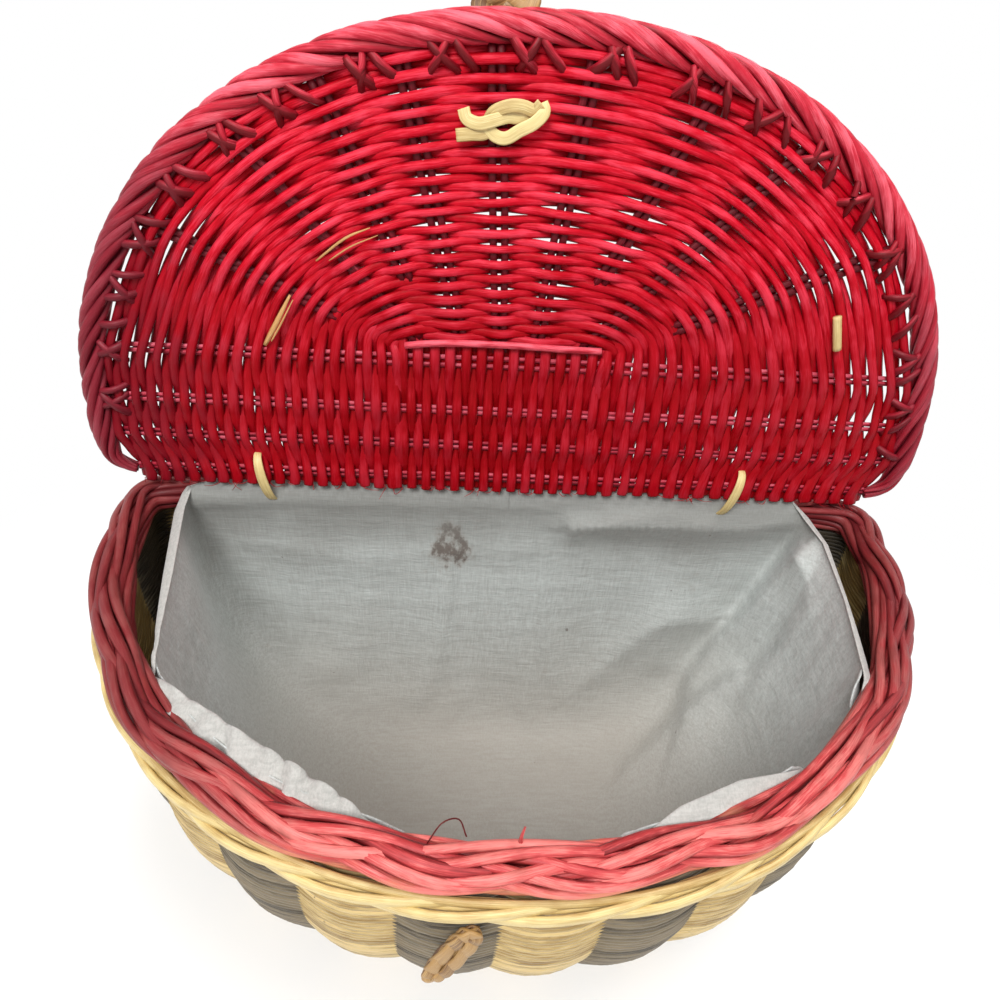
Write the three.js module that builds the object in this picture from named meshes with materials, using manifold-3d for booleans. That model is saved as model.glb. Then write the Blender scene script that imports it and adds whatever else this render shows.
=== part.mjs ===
import * as THREE from 'three';
import { mergeVertices } from 'three/addons/utils/BufferGeometryUtils.js';
import Module from 'manifold-3d';

// Half-moon wicker picnic basket with a woven lid standing open.
// Millimetres, Z up. The round front faces -Y and the hinge is at the back.
// The origin is the centre of the base underside.

const clearance = 0.3;

// Rim and body outline
const rimHalfWidth = 210;
const rimRoundDepth = 208;
const rimFlatDepth = 19;
const basketHeight = 195;
const originSetback = 82.5;
const rimRoundExponent = 2.12;
const rimFlatExponent = 4.05;

// Rim border, waling band and foot border
const rimBorderRadius = 10.25;
const walingRadius = 6;
const walingGap = 1.1;
const walingDrop = 22.8;
const footRadius = 4.2;

// Side weave from the foot to the rim: shares of its height, and of its inset at the round
// side and at the flat back
const wallTaper = 40;
const flatTaper = 21;
const wallShares = [
  [0, 1, 1],
  [0.2, 0.65, 0.738],
  [0.4, 0.325, 0.476],
  [0.58, 0.1375, 0.31],
  [0.733, 0.095, 0.262],
  [0.884, 0.14, 0.31],
  [1, 0.2375, 0.4524],
];
const stakeCount = 26;
const stakePhaseShare = 0.08;
const stakeRadius = 2.5;
const fluteHalfThickness = 4.9;
const valleyHalfThickness = 1.25;
const fluteRoundShare = 0.7;
const innerHalfThickness = 4.5;

// Base
const baseThickness = 7;
const baseMargin = 1.1;
const baseStickMargin = 1.6;
const baseStickRadius = 2;
const baseStickSetbacks = [-30, 0, 30, 57];

// Lining from the base to its hem: shares of its height, of its gap to the round side and to
// the flat back, of the depth of its folds and of its extra gap at both ends
const liningLift = 0.6;
const liningDrop = 9;
const liningGap = 11.7;
const liningFold = 6;
const liningSideGap = 14;
const liningShares = [
  [0, 0.68, 0.6, 0, 0],
  [0.07, 0.53, 0.63, 0.33, 0.14],
  [0.238, 0.57, 0.64, 0.67, 0.29],
  [0.462, 0.71, 0.62, 0.83, 0.5],
  [0.686, 0.96, 0.7, 1, 0.71],
  [0.882, 0.97, 0.85, 0.83, 0.86],
  [1, 1, 1, 0.67, 1],
];
const liningThickness = 1.2;
const liningPoints = 66;
const foldCount = 11;

// Lid
const lidOverhang = 7;
const lidHalfWidth = rimHalfWidth + lidOverhang;
const lidRoundDepth = 191;
const lidFlatDepth = 28;
const lidRoundExponent = 2.1;
const lidFlatExponent = 5;
const lidOpenAngle = 97;
const lidAxisRise = 6.4;
const lidAxisOffset = 4;
const lidBorderRadius = 5.5;
const lidCornerAngle = 13;
const lidCornerSetback = 1.5;

// Lid sticks: the four cross sticks lie at these distances from the hinge edge
const crossStickOffsets = [8, 28, 48, 74];
const stickHalfWidth = 2.8;
const stickHalfThickness = 1.35;
const ribAngles = [36.7, 56.6, 70.6, 85, 95, 105.3, 115.4, 127.9, 144.9];
const ribRoots = [
  [46, 84], [36, 90], [22, 91], [7, 91], [-12, 91], [-32, 91], [-46, 91], [-56, 90], [-66, 84],
];
const ribFirstRows = [5, 0, 5, 0, 0, 0, 5, 0, 5];
const ribRootDrop = 7;
const ribLead = 0.4;
const ribEndReach = 1.3;

// Lid weave
const weaveRows = 18;
const rowHalfThickness = 1.5;
const rowRise = 3.9;
const innermostLeft = -66;
const innermostRight = 46;
const shortRods = 12;
const rowEdgeInset = 14.2;
const leftPitch = (lidHalfWidth - rowEdgeInset + innermostLeft) / (weaveRows - 1);
const rowWidthShare = 0.2857;
const rowHalfWidth = rowWidthShare * leftPitch;
const turnOffset = 2.6;
const lidBarOffset = 85;
const lidBarRadius = 1.6;
const lidBarMargin = 12.5;

// Cane hinge loops
const hingeLoopRows = 8.5;
const caneHalfWidth = 1.3;
const caneHalfThickness = 0.65;
const hingeLoopHalfWidth = 7.6;
const hingeLoopHalfHeight = 14.9;
const hingeLoopShift = 0.8;
const hingeLoopDrop = 0.6;

// Closure: cane knot, braided hasp and braided front loop, all on one line
const closureOffset = -17;
const lidDepth = lidFlatDepth + lidRoundDepth;
const knotRibIndex = 4;
const knotRowIndex = 13;
const knotHalfLength = 16;
const knotHalfHeight = 5.5;
const knotRise = 1.7;
const knotSettle = 0.9;
const haspHalfWidth = 14;
const haspHalfThickness = 1.75;
const haspLift = 7.6;
const haspRootSetback = 51;
const haspStrapReach = 3.1;
const haspJoinGap = 0.1;
const haspLoopReach = 65;
const haspLegHalfWidth = 3.75;
const braidDepth = 0.9;
const frontLoopInset = -4.3;
const frontLoopDrop = 28.1;
const frontLoopHalfWidth = 3.5;
const frontLoopLength = 32;
const frontLoopRadius = 1.75;

const openRadians = THREE.MathUtils.degToRad(lidOpenAngle);
const lidCornerTurn = THREE.MathUtils.degToRad(lidCornerAngle);
const wasm = await Module();
wasm.setup();

const signedPower = (value, power) => Math.sign(value) * Math.abs(value) ** power;

// A point of a half-moon outline, moved inward. Positive q is the round side.
function outlinePoint(outline, turn, inset, flatInset = inset) {
  const cosine = Math.cos(turn);
  const sine = Math.sin(turn);
  const power = 2 / (sine < 0 ? outline.flatExponent : outline.roundExponent);
  const half = outline.halfWidth - inset;
  const flat = (outline.flatDepth * half) / outline.halfWidth;
  const widest = flatInset + flat - outline.flatDepth;
  const round = outline.roundDepth - inset - widest;
  const depth = sine < 0 ? flat : round;
  return new THREE.Vector2(
    half * signedPower(cosine, power),
    widest + depth * signedPower(sine, power),
  );
}

const rimOutline = {
  halfWidth: rimHalfWidth,
  roundDepth: rimRoundDepth,
  flatDepth: rimFlatDepth,
  roundExponent: rimRoundExponent,
  flatExponent: rimFlatExponent,
};
const lidOutline = {
  halfWidth: lidHalfWidth,
  roundDepth: lidRoundDepth,
  flatDepth: lidFlatDepth,
  roundExponent: lidRoundExponent,
  flatExponent: lidFlatExponent,
};

// Turns that divide an outline into equal lengths, shifted by a share of one step
function evenTurns(outline, inset, count, phaseShare) {
  const samples = 7200;
  const lengths = [0];
  let last = outlinePoint(outline, 0, inset);
  for (let i = 1; i <= samples; i += 1) {
    const point = outlinePoint(outline, (2 * Math.PI * i) / samples, inset);
    lengths.push(lengths[i - 1] + point.distanceTo(last));
    last = point;
  }
  const turns = [];
  for (let k = 0; k < count; k += 1) {
    const target = (lengths[samples] * ((k + phaseShare) % count)) / count;
    const i = lengths.findIndex((length) => length > target) - 1;
    const share = (target - lengths[i]) / (lengths[i + 1] - lengths[i]);
    turns.push((2 * Math.PI * (i + share)) / samples);
  }
  return turns;
}

// The basket frame: the outline is turned half round so that its round side faces -Y
function bodyPoint(turn, inset, flatInset, height) {
  const point = outlinePoint(rimOutline, turn, inset, flatInset);
  return new THREE.Vector3(-point.x, originSetback - point.y, height);
}

function ringNormal(points, index) {
  const before = points[(index + points.length - 1) % points.length];
  const after = points[(index + 1) % points.length];
  return new THREE.Vector3(after.y - before.y, before.x - after.x, 0).normalize();
}

// Closed surface through rings of points, joined end to end or capped from their middles
function ringSurface(rings, joined) {
  const size = rings[0].length;
  const positions = rings.flat().flatMap((point) => point.toArray());
  const index = [];
  const last = joined ? rings.length : rings.length - 1;
  for (let i = 0; i < last; i += 1) {
    const next = ((i + 1) % rings.length) * size;
    for (let j = 0; j < size; j += 1) {
      const k = (j + 1) % size;
      index.push(i * size + j, i * size + k, next + k);
      index.push(i * size + j, next + k, next + j);
    }
  }
  if (!joined) {
    for (const end of [0, rings.length - 1]) {
      const middle = new THREE.Vector3();
      rings[end].forEach((point) => middle.add(point));
      middle.divideScalar(size);
      const centre = positions.length / 3;
      positions.push(...middle.toArray());
      for (let j = 0; j < size; j += 1) {
        const k = (j + 1) % size;
        if (end === 0) index.push(centre, end * size + k, end * size + j);
        else index.push(centre, end * size + j, end * size + k);
      }
    }
  }
  return indexedGeometry(positions, index);
}

function indexedGeometry(positions, index) {
  const geometry = new THREE.BufferGeometry();
  geometry.setAttribute('position', new THREE.Float32BufferAttribute(positions, 3));
  geometry.setIndex(index);
  geometry.computeVertexNormals();
  return geometry;
}

// Section rings along a path. Each stop has a point and a side hint for the section's width.
function sweep(stops, section, joined) {
  const count = stops.length;
  const rings = stops.map((stop, i) => {
    const before = stops[joined ? (i + count - 1) % count : Math.max(i - 1, 0)];
    const after = stops[joined ? (i + 1) % count : Math.min(i + 1, count - 1)];
    const along = after.point.clone().sub(before.point).normalize();
    const side = stop.side.clone().addScaledVector(along, -stop.side.dot(along)).normalize();
    const rise = along.clone().cross(side);
    return section(i).map(([a, b]) =>
      stop.point.clone().addScaledVector(side, a).addScaledVector(rise, b));
  });
  return ringSurface(rings, joined);
}

const flatSection = (halfWidth, halfThickness) => [
  [halfWidth, -halfThickness], [halfWidth, halfThickness],
  [-halfWidth, halfThickness], [-halfWidth, -halfThickness],
];

// A twisted rope section: lobes that turn along the path
function ropeSection(radius, points, lobes, depthShare, twist) {
  const section = [];
  for (let j = 0; j < points; j += 1) {
    const angle = (2 * Math.PI * j) / points;
    const reach = radius * (1 - depthShare * (0.5 - 0.5 * Math.cos(lobes * angle)));
    section.push([reach * Math.cos(angle + twist), reach * Math.sin(angle + twist)]);
  }
  return section;
}

// Rope around the whole outline
function outlineRope(steps, inset, flatInset, height, radius, points, lobes, depthShare, turns) {
  const ring = evenTurns(rimOutline, inset, steps, 0)
    .map((turn) => bodyPoint(turn, inset, flatInset, height));
  const stops = ring.map((point, i) => ({ point, side: ringNormal(ring, i) }));
  const section = (i) =>
    ropeSection(radius, points, lobes, depthShare, (2 * Math.PI * turns * i) / steps);
  return sweep(stops, section, true);
}

function toSolid(geometry) {
  const bare = new THREE.BufferGeometry();
  bare.setAttribute('position', geometry.getAttribute('position'));
  if (geometry.index) bare.setIndex(geometry.index);
  const merged = mergeVertices(bare);
  return new wasm.Manifold(new wasm.Mesh({
    numProp: 3,
    vertProperties: new Float32Array(merged.getAttribute('position').array),
    triVerts: new Uint32Array(merged.index.array),
  }));
}

function fromSolid(solid) {
  const mesh = solid.getMesh();
  return indexedGeometry(Array.from(mesh.vertProperties), Array.from(mesh.triVerts));
}

const wallFoot = 2 * footRadius + clearance;
const wallTop = basketHeight - 2 * rimBorderRadius - clearance;
const wallLevels = wallShares.map(([rise, round, flat]) => ({
  height: wallFoot + rise * (wallTop - wallFoot),
  inset: round * wallTaper,
  flatInset: flat * flatTaper,
}));

// The wall's insets at any height, read straight between two levels
function wallAt(height) {
  let i = 0;
  while (i < wallLevels.length - 2 && wallLevels[i + 1].height < height) i += 1;
  const low = wallLevels[i];
  const high = wallLevels[i + 1];
  const share = Math.min((height - low.height) / (high.height - low.height), 1);
  return {
    inset: low.inset + share * (high.inset - low.inset),
    flatInset: low.flatInset + share * (high.flatInset - low.flatInset),
  };
}

const liningFoot = baseThickness + liningLift;
const liningTop = basketHeight - liningDrop;
const liningLevels = liningShares.map(([rise, gap, flatGap, fold, sideGap]) => {
  const height = liningFoot + rise * (liningTop - liningFoot);
  const { inset, flatInset } = wallAt(height);
  return {
    height,
    inset: inset + gap * liningGap,
    flatInset: flatInset + flatGap * liningGap,
    fold: fold * liningFold,
    sideGap: sideGap * liningSideGap,
  };
});

const stakeTurns = evenTurns(rimOutline, rimBorderRadius, stakeCount, stakePhaseShare);
const quarterTurns = evenTurns(rimOutline, rimBorderRadius, 4 * stakeCount, 4 * stakePhaseShare);

// The side weave: a fluted wall with a tunnel for every stake
function sideWeave() {
  const tunnelSides = 6;
  const tunnelRadius = stakeRadius + clearance;
  const flank = valleyHalfThickness + fluteRoundShare * (fluteHalfThickness - valleyHalfThickness);
  const thickness = [fluteHalfThickness, flank, valleyHalfThickness, flank];
  const layers = wallLevels.map(({ height, inset, flatInset }) => {
    const outer = quarterTurns.map((turn, i) =>
      bodyPoint(turn, inset - thickness[i % 4], flatInset - thickness[i % 4], height));
    const inner = quarterTurns.filter((turn, i) => i % 2 === 0).map((turn, i) => {
      const half = i % 2 === 0 ? innerHalfThickness : valleyHalfThickness;
      return bodyPoint(turn, inset + half, flatInset + half, height);
    });
    const tunnels = stakeTurns.map((turn) => {
      const centre = bodyPoint(turn, inset, flatInset, height);
      const loop = [];
      for (let j = 0; j < tunnelSides; j += 1) {
        const angle = (2 * Math.PI * j) / tunnelSides;
        loop.push(new THREE.Vector3(
          centre.x + tunnelRadius * Math.cos(angle),
          centre.y + tunnelRadius * Math.sin(angle),
          height,
        ));
      }
      return loop;
    });
    return { outer, loops: [outer, inner, ...tunnels] };
  });
  const positions = layers.flatMap((layer) => layer.loops.flat())
    .flatMap((point) => point.toArray());
  const perLayer = layers[0].loops.flat().length;
  const index = [];
  for (let layer = 0; layer < layers.length - 1; layer += 1) {
    let start = layer * perLayer;
    layers[layer].loops.forEach((loop, which) => {
      for (let j = 0; j < loop.length; j += 1) {
        const a = start + j;
        const b = start + ((j + 1) % loop.length);
        const [p, q] = which === 0 ? [a, b] : [b, a];
        index.push(p, q, q + perLayer, p, q + perLayer, p + perLayer);
      }
      start += loop.length;
    });
  }
  const flat = (loop) => loop.map((point) => new THREE.Vector2(point.x, point.y));
  const [contour, ...holes] = layers[0].loops.map(flat);
  const bottomFaces = THREE.ShapeUtils.triangulateShape(contour, holes);
  bottomFaces.forEach(([a, b, c]) => index.push(a, c, b));
  const top = (layers.length - 1) * perLayer;
  const [topContour, ...topHoles] = layers[layers.length - 1].loops.map(flat);
  const topFaces = THREE.ShapeUtils.triangulateShape(topContour, topHoles);
  topFaces.forEach(([a, b, c]) => index.push(top + a, top + b, top + c));
  return indexedGeometry(positions, index);
}

function sideStake(turn) {
  const rings = wallLevels.map(({ height, inset, flatInset }) => {
    const point = bodyPoint(turn, inset, flatInset, height);
    const ring = [];
    for (let j = 0; j < 6; j += 1) {
      const angle = (2 * Math.PI * j) / 6;
      ring.push(new THREE.Vector3(
        point.x + stakeRadius * Math.cos(angle),
        point.y + stakeRadius * Math.sin(angle),
        point.z,
      ));
    }
    return ring;
  });
  return ringSurface(rings, false);
}

// Base: a D plate of weave with four sticks running through it
const baseInset = wallLevels[0].inset + footRadius + baseMargin;
const baseFlatInset = wallLevels[0].flatInset + footRadius + baseMargin;

function basePlate() {
  const turns = evenTurns(rimOutline, baseInset, 52, 0);
  const rings = [0, baseThickness].map((height) =>
    turns.map((turn) => bodyPoint(turn, baseInset, baseFlatInset, height)));
  return ringSurface(rings, false);
}

function baseStickReach(setback) {
  const samples = 720;
  let reach = 0;
  for (let i = 0; i < samples; i += 1) {
    const point = bodyPoint((2 * Math.PI * i) / samples, baseInset, baseFlatInset, 0);
    const next = bodyPoint((2 * Math.PI * (i + 1)) / samples, baseInset, baseFlatInset, 0);
    if ((point.y - setback) * (next.y - setback) <= 0) reach = Math.max(reach, Math.abs(point.x));
  }
  return reach - baseStickMargin;
}

function baseStick(setback, radius, reach) {
  const geometry = new THREE.CylinderGeometry(radius, radius, 2 * reach, 10);
  geometry.rotateZ(Math.PI / 2);
  geometry.translate(0, setback, baseThickness / 2);
  return geometry;
}

function baseWeave() {
  let solid = toSolid(basePlate());
  baseStickSetbacks.forEach((setback) => {
    const tunnel = baseStick(setback, baseStickRadius + clearance, rimHalfWidth);
    solid = solid.subtract(toSolid(tunnel));
  });
  return fromSolid(solid);
}

// Lining: an open cloth bag with soft upright folds, drawn in from the wall at both sides
function lining() {
  const turns = evenTurns(rimOutline, rimBorderRadius, liningPoints, 0);
  const loop = (level, depth, lift) => turns.map((turn) => {
    const wave = 0.5 - 0.5 * Math.cos(foldCount * turn);
    const side = Math.abs(Math.cos(turn)) ** 6;
    const extra = level.fold * wave + level.sideGap * side + depth;
    return bodyPoint(turn, level.inset + extra, level.flatInset + depth + level.fold * wave,
      level.height + lift);
  });
  const outer = liningLevels.map((level) => loop(level, 0, 0));
  const inner = liningLevels.map((level, i) =>
    loop(level, liningThickness, i === 0 ? liningThickness : 0));
  return ringSurface([...outer, ...inner.reverse()], false);
}

// Points of the lid in its own plane: u across, v away from the hinge edge, w toward the inside
function lidEdge(turn, inset) {
  const point = outlinePoint(lidOutline, turn, inset, 0);
  return new THREE.Vector2(point.x, point.y + lidFlatDepth);
}

// Half width of the lid plane at a distance from the hinge edge
function lidReach(offset, inset) {
  const half = lidHalfWidth - inset;
  const flat = (lidFlatDepth * half) / lidHalfWidth;
  const rise = offset - flat;
  const depth = rise < 0 ? flat : lidFlatDepth + lidRoundDepth - inset - flat;
  const power = rise < 0 ? lidFlatExponent : lidRoundExponent;
  const setback = offset < flat / 2 ? lidCornerSetback : 0;
  return half * (1 - (Math.abs(rise) / depth) ** power) ** (1 / power) - setback;
}

// The two thin rods of every lid stick lie side by side
function pairSection() {
  const waist = 0.55 * stickHalfThickness;
  return [
    [stickHalfWidth, 0], [stickHalfWidth / 2, stickHalfThickness], [0, waist],
    [-stickHalfWidth / 2, stickHalfThickness], [-stickHalfWidth, 0],
    [-stickHalfWidth / 2, -stickHalfThickness], [0, -waist],
    [stickHalfWidth / 2, -stickHalfThickness],
  ];
}

function lidStick(start, end) {
  const along = end.clone().sub(start).normalize();
  const side = new THREE.Vector3(-along.y, along.x, 0);
  const stops = [start, end].map((point) =>
    ({ point: new THREE.Vector3(point.x, point.y, 0), side }));
  return sweep(stops, pairSection, false);
}

const stickEdgeInset = 2 * lidBorderRadius + clearance;

function crossStick(offset) {
  const reach = lidReach(offset, stickEdgeInset);
  return lidStick(new THREE.Vector2(-reach, offset), new THREE.Vector2(reach, offset));
}

// Every row of the weave passes one station on each stick, alternately inside and outside
function stations(row) {
  const share = row / (weaveRows - 1);
  const list = [];
  const addCross = (side) => {
    const inner = side > 0 ? innermostRight : innermostLeft;
    const heights = side > 0 ? crossStickOffsets : [...crossStickOffsets].reverse();
    heights.forEach((offset) => {
      const outer = side * lidReach(offset, rowEdgeInset);
      list.push({
        at: new THREE.Vector2(inner + share * (outer - inner), offset),
        out: new THREE.Vector2(side, 0),
      });
    });
  };
  addCross(1);
  ribAngles.forEach((angle, k) => {
    if (row < ribFirstRows[k]) return;
    const root = new THREE.Vector2(...ribRoots[k]);
    const end = lidEdge(THREE.MathUtils.degToRad(angle), rowEdgeInset);
    list.push({ at: root.clone().lerp(end, share), out: end.clone().sub(root).normalize() });
  });
  addCross(-1);
  return list;
}

// Right to left stops of one row; long spans get a middle stop on the rounded course
function rowStops(row, firstSide) {
  const list = stations(row);
  const flatStops = list.map((station, i) => ({
    point: new THREE.Vector3(station.at.x, station.at.y, firstSide * (i % 2 ? -1 : 1) * rowRise),
    side: new THREE.Vector3(station.out.x, station.out.y, 0),
  }));
  const curve = new THREE.CatmullRomCurve3(
    list.map(({ at }) => new THREE.Vector3(at.x, at.y, 0)), false, 'centripetal');
  const stops = [];
  flatStops.forEach((stop, i) => {
    stops.push(stop);
    const next = flatStops[i + 1];
    const inArc = i >= crossStickOffsets.length - 1 && i < list.length - crossStickOffsets.length;
    if (next && inArc && row > 1) {
      const middle = curve.getPoint((i + 0.5) / (list.length - 1));
      const side = stop.side.clone().add(next.side).normalize();
      stops.push({ point: middle, side });
    }
  });
  return stops;
}

// Turn around the outermost cross stick, from one side of the lid to the other
function edgeTurn(from, to, offset) {
  const side = from.side.clone();
  const middle = from.point.clone().lerp(to.point, 0.5);
  return [0.15, 0.5, 0.85].map((share) => {
    const point = from.point.clone().lerp(to.point, share);
    const bulge = share === 0.5 ? 1 : 0.72;
    point.y = middle.y + (offset - middle.y) * bulge;
    point.z = share === 0.5 ? 0 : Math.sign(from.point.z) * (share < 0.5 ? 1 : -1) * rowRise * 0.72;
    return { point, side };
  });
}

function lidWeave() {
  const first = crossStickOffsets[0];
  const last = crossStickOffsets[crossStickOffsets.length - 1];
  const topTurn = last + stickHalfWidth + clearance + rowHalfThickness;
  const stops = [];
  let face = 1;
  const pitch = (innermostRight - innermostLeft) / (shortRods + 1);
  const push = (list) => {
    if (stops.length > 0) {
      const from = stops[stops.length - 1];
      const to = list[0];
      const atTop = from.point.y > (first + last) / 2;
      stops.push(...edgeTurn(from, to, atTop ? topTurn : turnOffset));
    }
    stops.push(...list);
  };
  for (let rod = 0; rod < shortRods; rod += 1) {
    const across = innermostLeft + pitch * (rod + 1);
    const upward = rod % 2 === 0;
    const heights = upward ? crossStickOffsets : [...crossStickOffsets].reverse();
    const list = heights.map((offset, i) => ({
      point: new THREE.Vector3(across, offset, face * (i % 2 ? -1 : 1) * rowRise),
      side: new THREE.Vector3(1, 0, 0),
    }));
    face = -Math.sign(list[list.length - 1].point.z);
    push(list);
  }
  for (let row = 0; row < weaveRows; row += 1) {
    const count = stations(row).length;
    const fromRight = row % 2 === 0;
    const firstSide = fromRight ? face : face * (count % 2 ? 1 : -1);
    const list = rowStops(row, firstSide);
    if (!fromRight) list.reverse();
    face = -Math.sign(list[list.length - 1].point.z);
    push(list);
  }
  return sweep(stops, () => flatSection(rowHalfWidth, rowHalfThickness), false);
}

function lidBorder() {
  const steps = 74;
  const samples = 600;
  const low = -lidCornerTurn;
  const high = Math.PI + lidCornerTurn;
  const points = [];
  for (let i = 0; i <= samples; i += 1) {
    points.push(lidEdge(low + ((high - low) * i) / samples, lidBorderRadius));
  }
  const curve = new THREE.CatmullRomCurve3(points.map(({ x, y }) => new THREE.Vector3(x, y, 0)));
  const even = curve.getSpacedPoints(steps);
  const stops = even.map((point, i) => {
    const before = even[Math.max(i - 1, 0)];
    const after = even[Math.min(i + 1, steps)];
    return { point, side: new THREE.Vector3(after.y - before.y, before.x - after.x, 0).normalize() };
  });
  return sweep(stops, (i) => ropeSection(lidBorderRadius, 9, 3, 0.16, (Math.PI * i) / 5), false);
}

function lidRib(k) {
  const root = new THREE.Vector2(...ribRoots[k]);
  const angle = THREE.MathUtils.degToRad(ribAngles[k]);
  const rowEnd = lidEdge(angle, rowEdgeInset);
  const along = rowEnd.clone().sub(root).normalize();
  const share = Math.max(0, ribFirstRows[k] - ribLead) / (weaveRows - 1);
  const start = root.clone().lerp(rowEnd, share);
  if (ribFirstRows[k] === 0) start.addScaledVector(along, -ribRootDrop / Math.max(along.y, 0.9));
  const end = rowEnd.clone().addScaledVector(along, ribEndReach);
  return lidStick(start, end);
}

function lidBar() {
  const height = stickHalfThickness + clearance + lidBarRadius;
  const stops = [innermostLeft + lidBarMargin, innermostRight - lidBarMargin].map((across) => ({
    point: new THREE.Vector3(across, lidBarOffset, height),
    side: new THREE.Vector3(0, 1, 0),
  }));
  return sweep(stops, () => ropeSection(lidBarRadius, 8, 1, 0, 0), false);
}

// Cane hinge loop: an upright oval through the lid weave and the rim border
function hingeLoopPlace(side) {
  const share = hingeLoopRows / (weaveRows - 1);
  const inner = side > 0 ? innermostRight : innermostLeft;
  const [edge, next] = crossStickOffsets.map((offset) => side * lidReach(offset, rowEdgeInset));
  return inner + share * ((edge + next) / 2 - inner);
}

const hingeY = originSetback;
const hingeZ = basketHeight + lidAxisRise;

function hingeLoop(side, margin) {
  const steps = 24;
  const stops = [];
  for (let i = 0; i < steps; i += 1) {
    const angle = (2 * Math.PI * i) / steps;
    stops.push({
      point: new THREE.Vector3(
        hingeLoopPlace(side),
        hingeY + hingeLoopShift + hingeLoopHalfWidth * Math.cos(angle),
        hingeZ - hingeLoopDrop + hingeLoopHalfHeight * Math.sin(angle),
      ),
      side: new THREE.Vector3(1, 0, 0),
    });
  }
  const section = flatSection(caneHalfWidth + margin, caneHalfThickness + margin);
  return sweep(stops, () => section, true);
}

function rimBorder() {
  const rope = outlineRope(96, rimBorderRadius, rimBorderRadius, basketHeight - rimBorderRadius,
    rimBorderRadius, 9, 3, 0.14, 12);
  let solid = toSolid(rope);
  [-1, 1].forEach((side) => {
    solid = solid.subtract(toSolid(hingeLoop(side, clearance)));
  });
  return fromSolid(solid);
}

// Knot of flat cane lying in a figure of eight on the inside of the lid
function lidKnot() {
  const steps = 36;
  const rootOffset = ribRoots[knotRibIndex][1];
  const rowEnd = lidEdge(THREE.MathUtils.degToRad(ribAngles[knotRibIndex]), rowEdgeInset);
  const knotOffset = rootOffset + (knotRowIndex / (weaveRows - 1)) * (rowEnd.y - rootOffset);
  const stops = [];
  for (let i = 0; i < steps; i += 1) {
    const angle = (2 * Math.PI * i) / steps;
    stops.push({
      point: new THREE.Vector3(
        closureOffset + knotHalfLength * Math.cos(angle),
        knotOffset + knotHalfHeight * Math.sin(2 * angle),
        rowRise + rowHalfThickness + caneHalfThickness + knotRise
          - knotRise * Math.sin(angle) - knotSettle,
      ),
      side: new THREE.Vector3(0, 0, 1),
    });
  }
  return sweep(stops, () => flatSection(caneHalfThickness, caneHalfWidth * 0.8), true);
}

function haspStrap() {
  const steps = 14;
  const stops = [];
  for (let i = 0; i <= steps; i += 1) {
    stops.push({
      point: new THREE.Vector3(
        closureOffset,
        lidDepth - haspRootSetback + ((haspRootSetback + haspStrapReach) * i) / steps,
        -haspLift,
      ),
      side: new THREE.Vector3(1, 0, 0),
    });
  }
  const section = (i) => {
    const half = haspHalfWidth - (i % 2 ? braidDepth : 0);
    const edge = haspHalfThickness * 0.45;
    return [
      [half, -edge], [half, edge], [half / 2, haspHalfThickness], [0, haspHalfThickness * 0.75],
      [-half / 2, haspHalfThickness], [-half, edge], [-half, -edge],
      [-half / 2, -haspHalfThickness], [0, -haspHalfThickness * 0.75],
      [half / 2, -haspHalfThickness],
    ];
  };
  return sweep(stops, section, false);
}

// Long ring in the plane of its face: straight legs and rounded ends
function longRing(halfWidth, halfLength, perEnd, perLeg) {
  const points = [];
  const straight = halfLength - halfWidth;
  for (const end of [1, -1]) {
    for (let i = 0; i <= perEnd; i += 1) {
      const angle = (Math.PI * i) / perEnd + (end > 0 ? 0 : Math.PI);
      points.push(new THREE.Vector2(
        halfWidth * Math.cos(angle), end * straight + halfWidth * Math.sin(angle)));
    }
    for (let i = 1; i < perLeg; i += 1) {
      points.push(new THREE.Vector2(-end * halfWidth, end * straight * (1 - (2 * i) / perLeg)));
    }
  }
  return points;
}

function braidedRing(halfWidth, halfLength, legWidth, legThickness, perLeg) {
  const points = longRing(halfWidth, halfLength, 6, perLeg);
  const stops = points.map((point, i) => {
    const before = points[(i + points.length - 1) % points.length];
    const after = points[(i + 1) % points.length];
    return {
      point: new THREE.Vector3(point.x, point.y, 0),
      side: new THREE.Vector3(after.y - before.y, before.x - after.x, 0).normalize(),
    };
  });
  const section = (i) => {
    const half = legWidth - (i % 2 ? braidDepth / 2 : 0);
    return [
      [half, 0], [half / 2, legThickness], [-half / 2, legThickness],
      [-half, 0], [-half / 2, -legThickness], [half / 2, -legThickness],
    ];
  };
  return sweep(stops, section, true);
}

function haspLoop() {
  const loopStart = lidDepth + haspStrapReach + haspJoinGap;
  const loopEnd = lidDepth + haspLoopReach;
  const halfLength = (loopEnd - loopStart) / 2 - haspLegHalfWidth;
  const ring = braidedRing(haspHalfWidth - haspLegHalfWidth, halfLength, haspLegHalfWidth,
    haspHalfThickness, 6);
  ring.translate(closureOffset, (loopEnd + loopStart) / 2, -haspLift);
  return ring;
}

function frontLoop() {
  const ring = braidedRing(frontLoopHalfWidth, frontLoopLength / 2 - frontLoopRadius,
    frontLoopRadius, frontLoopRadius, 6);
  ring.rotateX(Math.PI / 2);
  const turn = Math.PI / 2 - closureOffset / rimHalfWidth;
  const place = bodyPoint(turn, frontLoopInset, frontLoopInset, 0);
  ring.translate(closureOffset, place.y, basketHeight - frontLoopDrop - frontLoopLength / 2);
  return ring;
}

const finish = (color, roughness) =>
  new THREE.MeshStandardMaterial({ color, roughness, metalness: 0, flatShading: true });
const dyedRed = finish('#b4162a', 0.45);
const dyedRose = finish('#a8434a', 0.6);
const paleCane = finish('#d9c48a', 0.5);
const straw = finish('#c9ad6a', 0.55);
const greyBrown = finish('#6d6459', 0.6);
const braidTan = finish('#8f6a41', 0.65);
const cotton = finish('#b9b8b3', 0.9);

const basket = new THREE.Group();
basket.name = 'picnic_basket';

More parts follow.
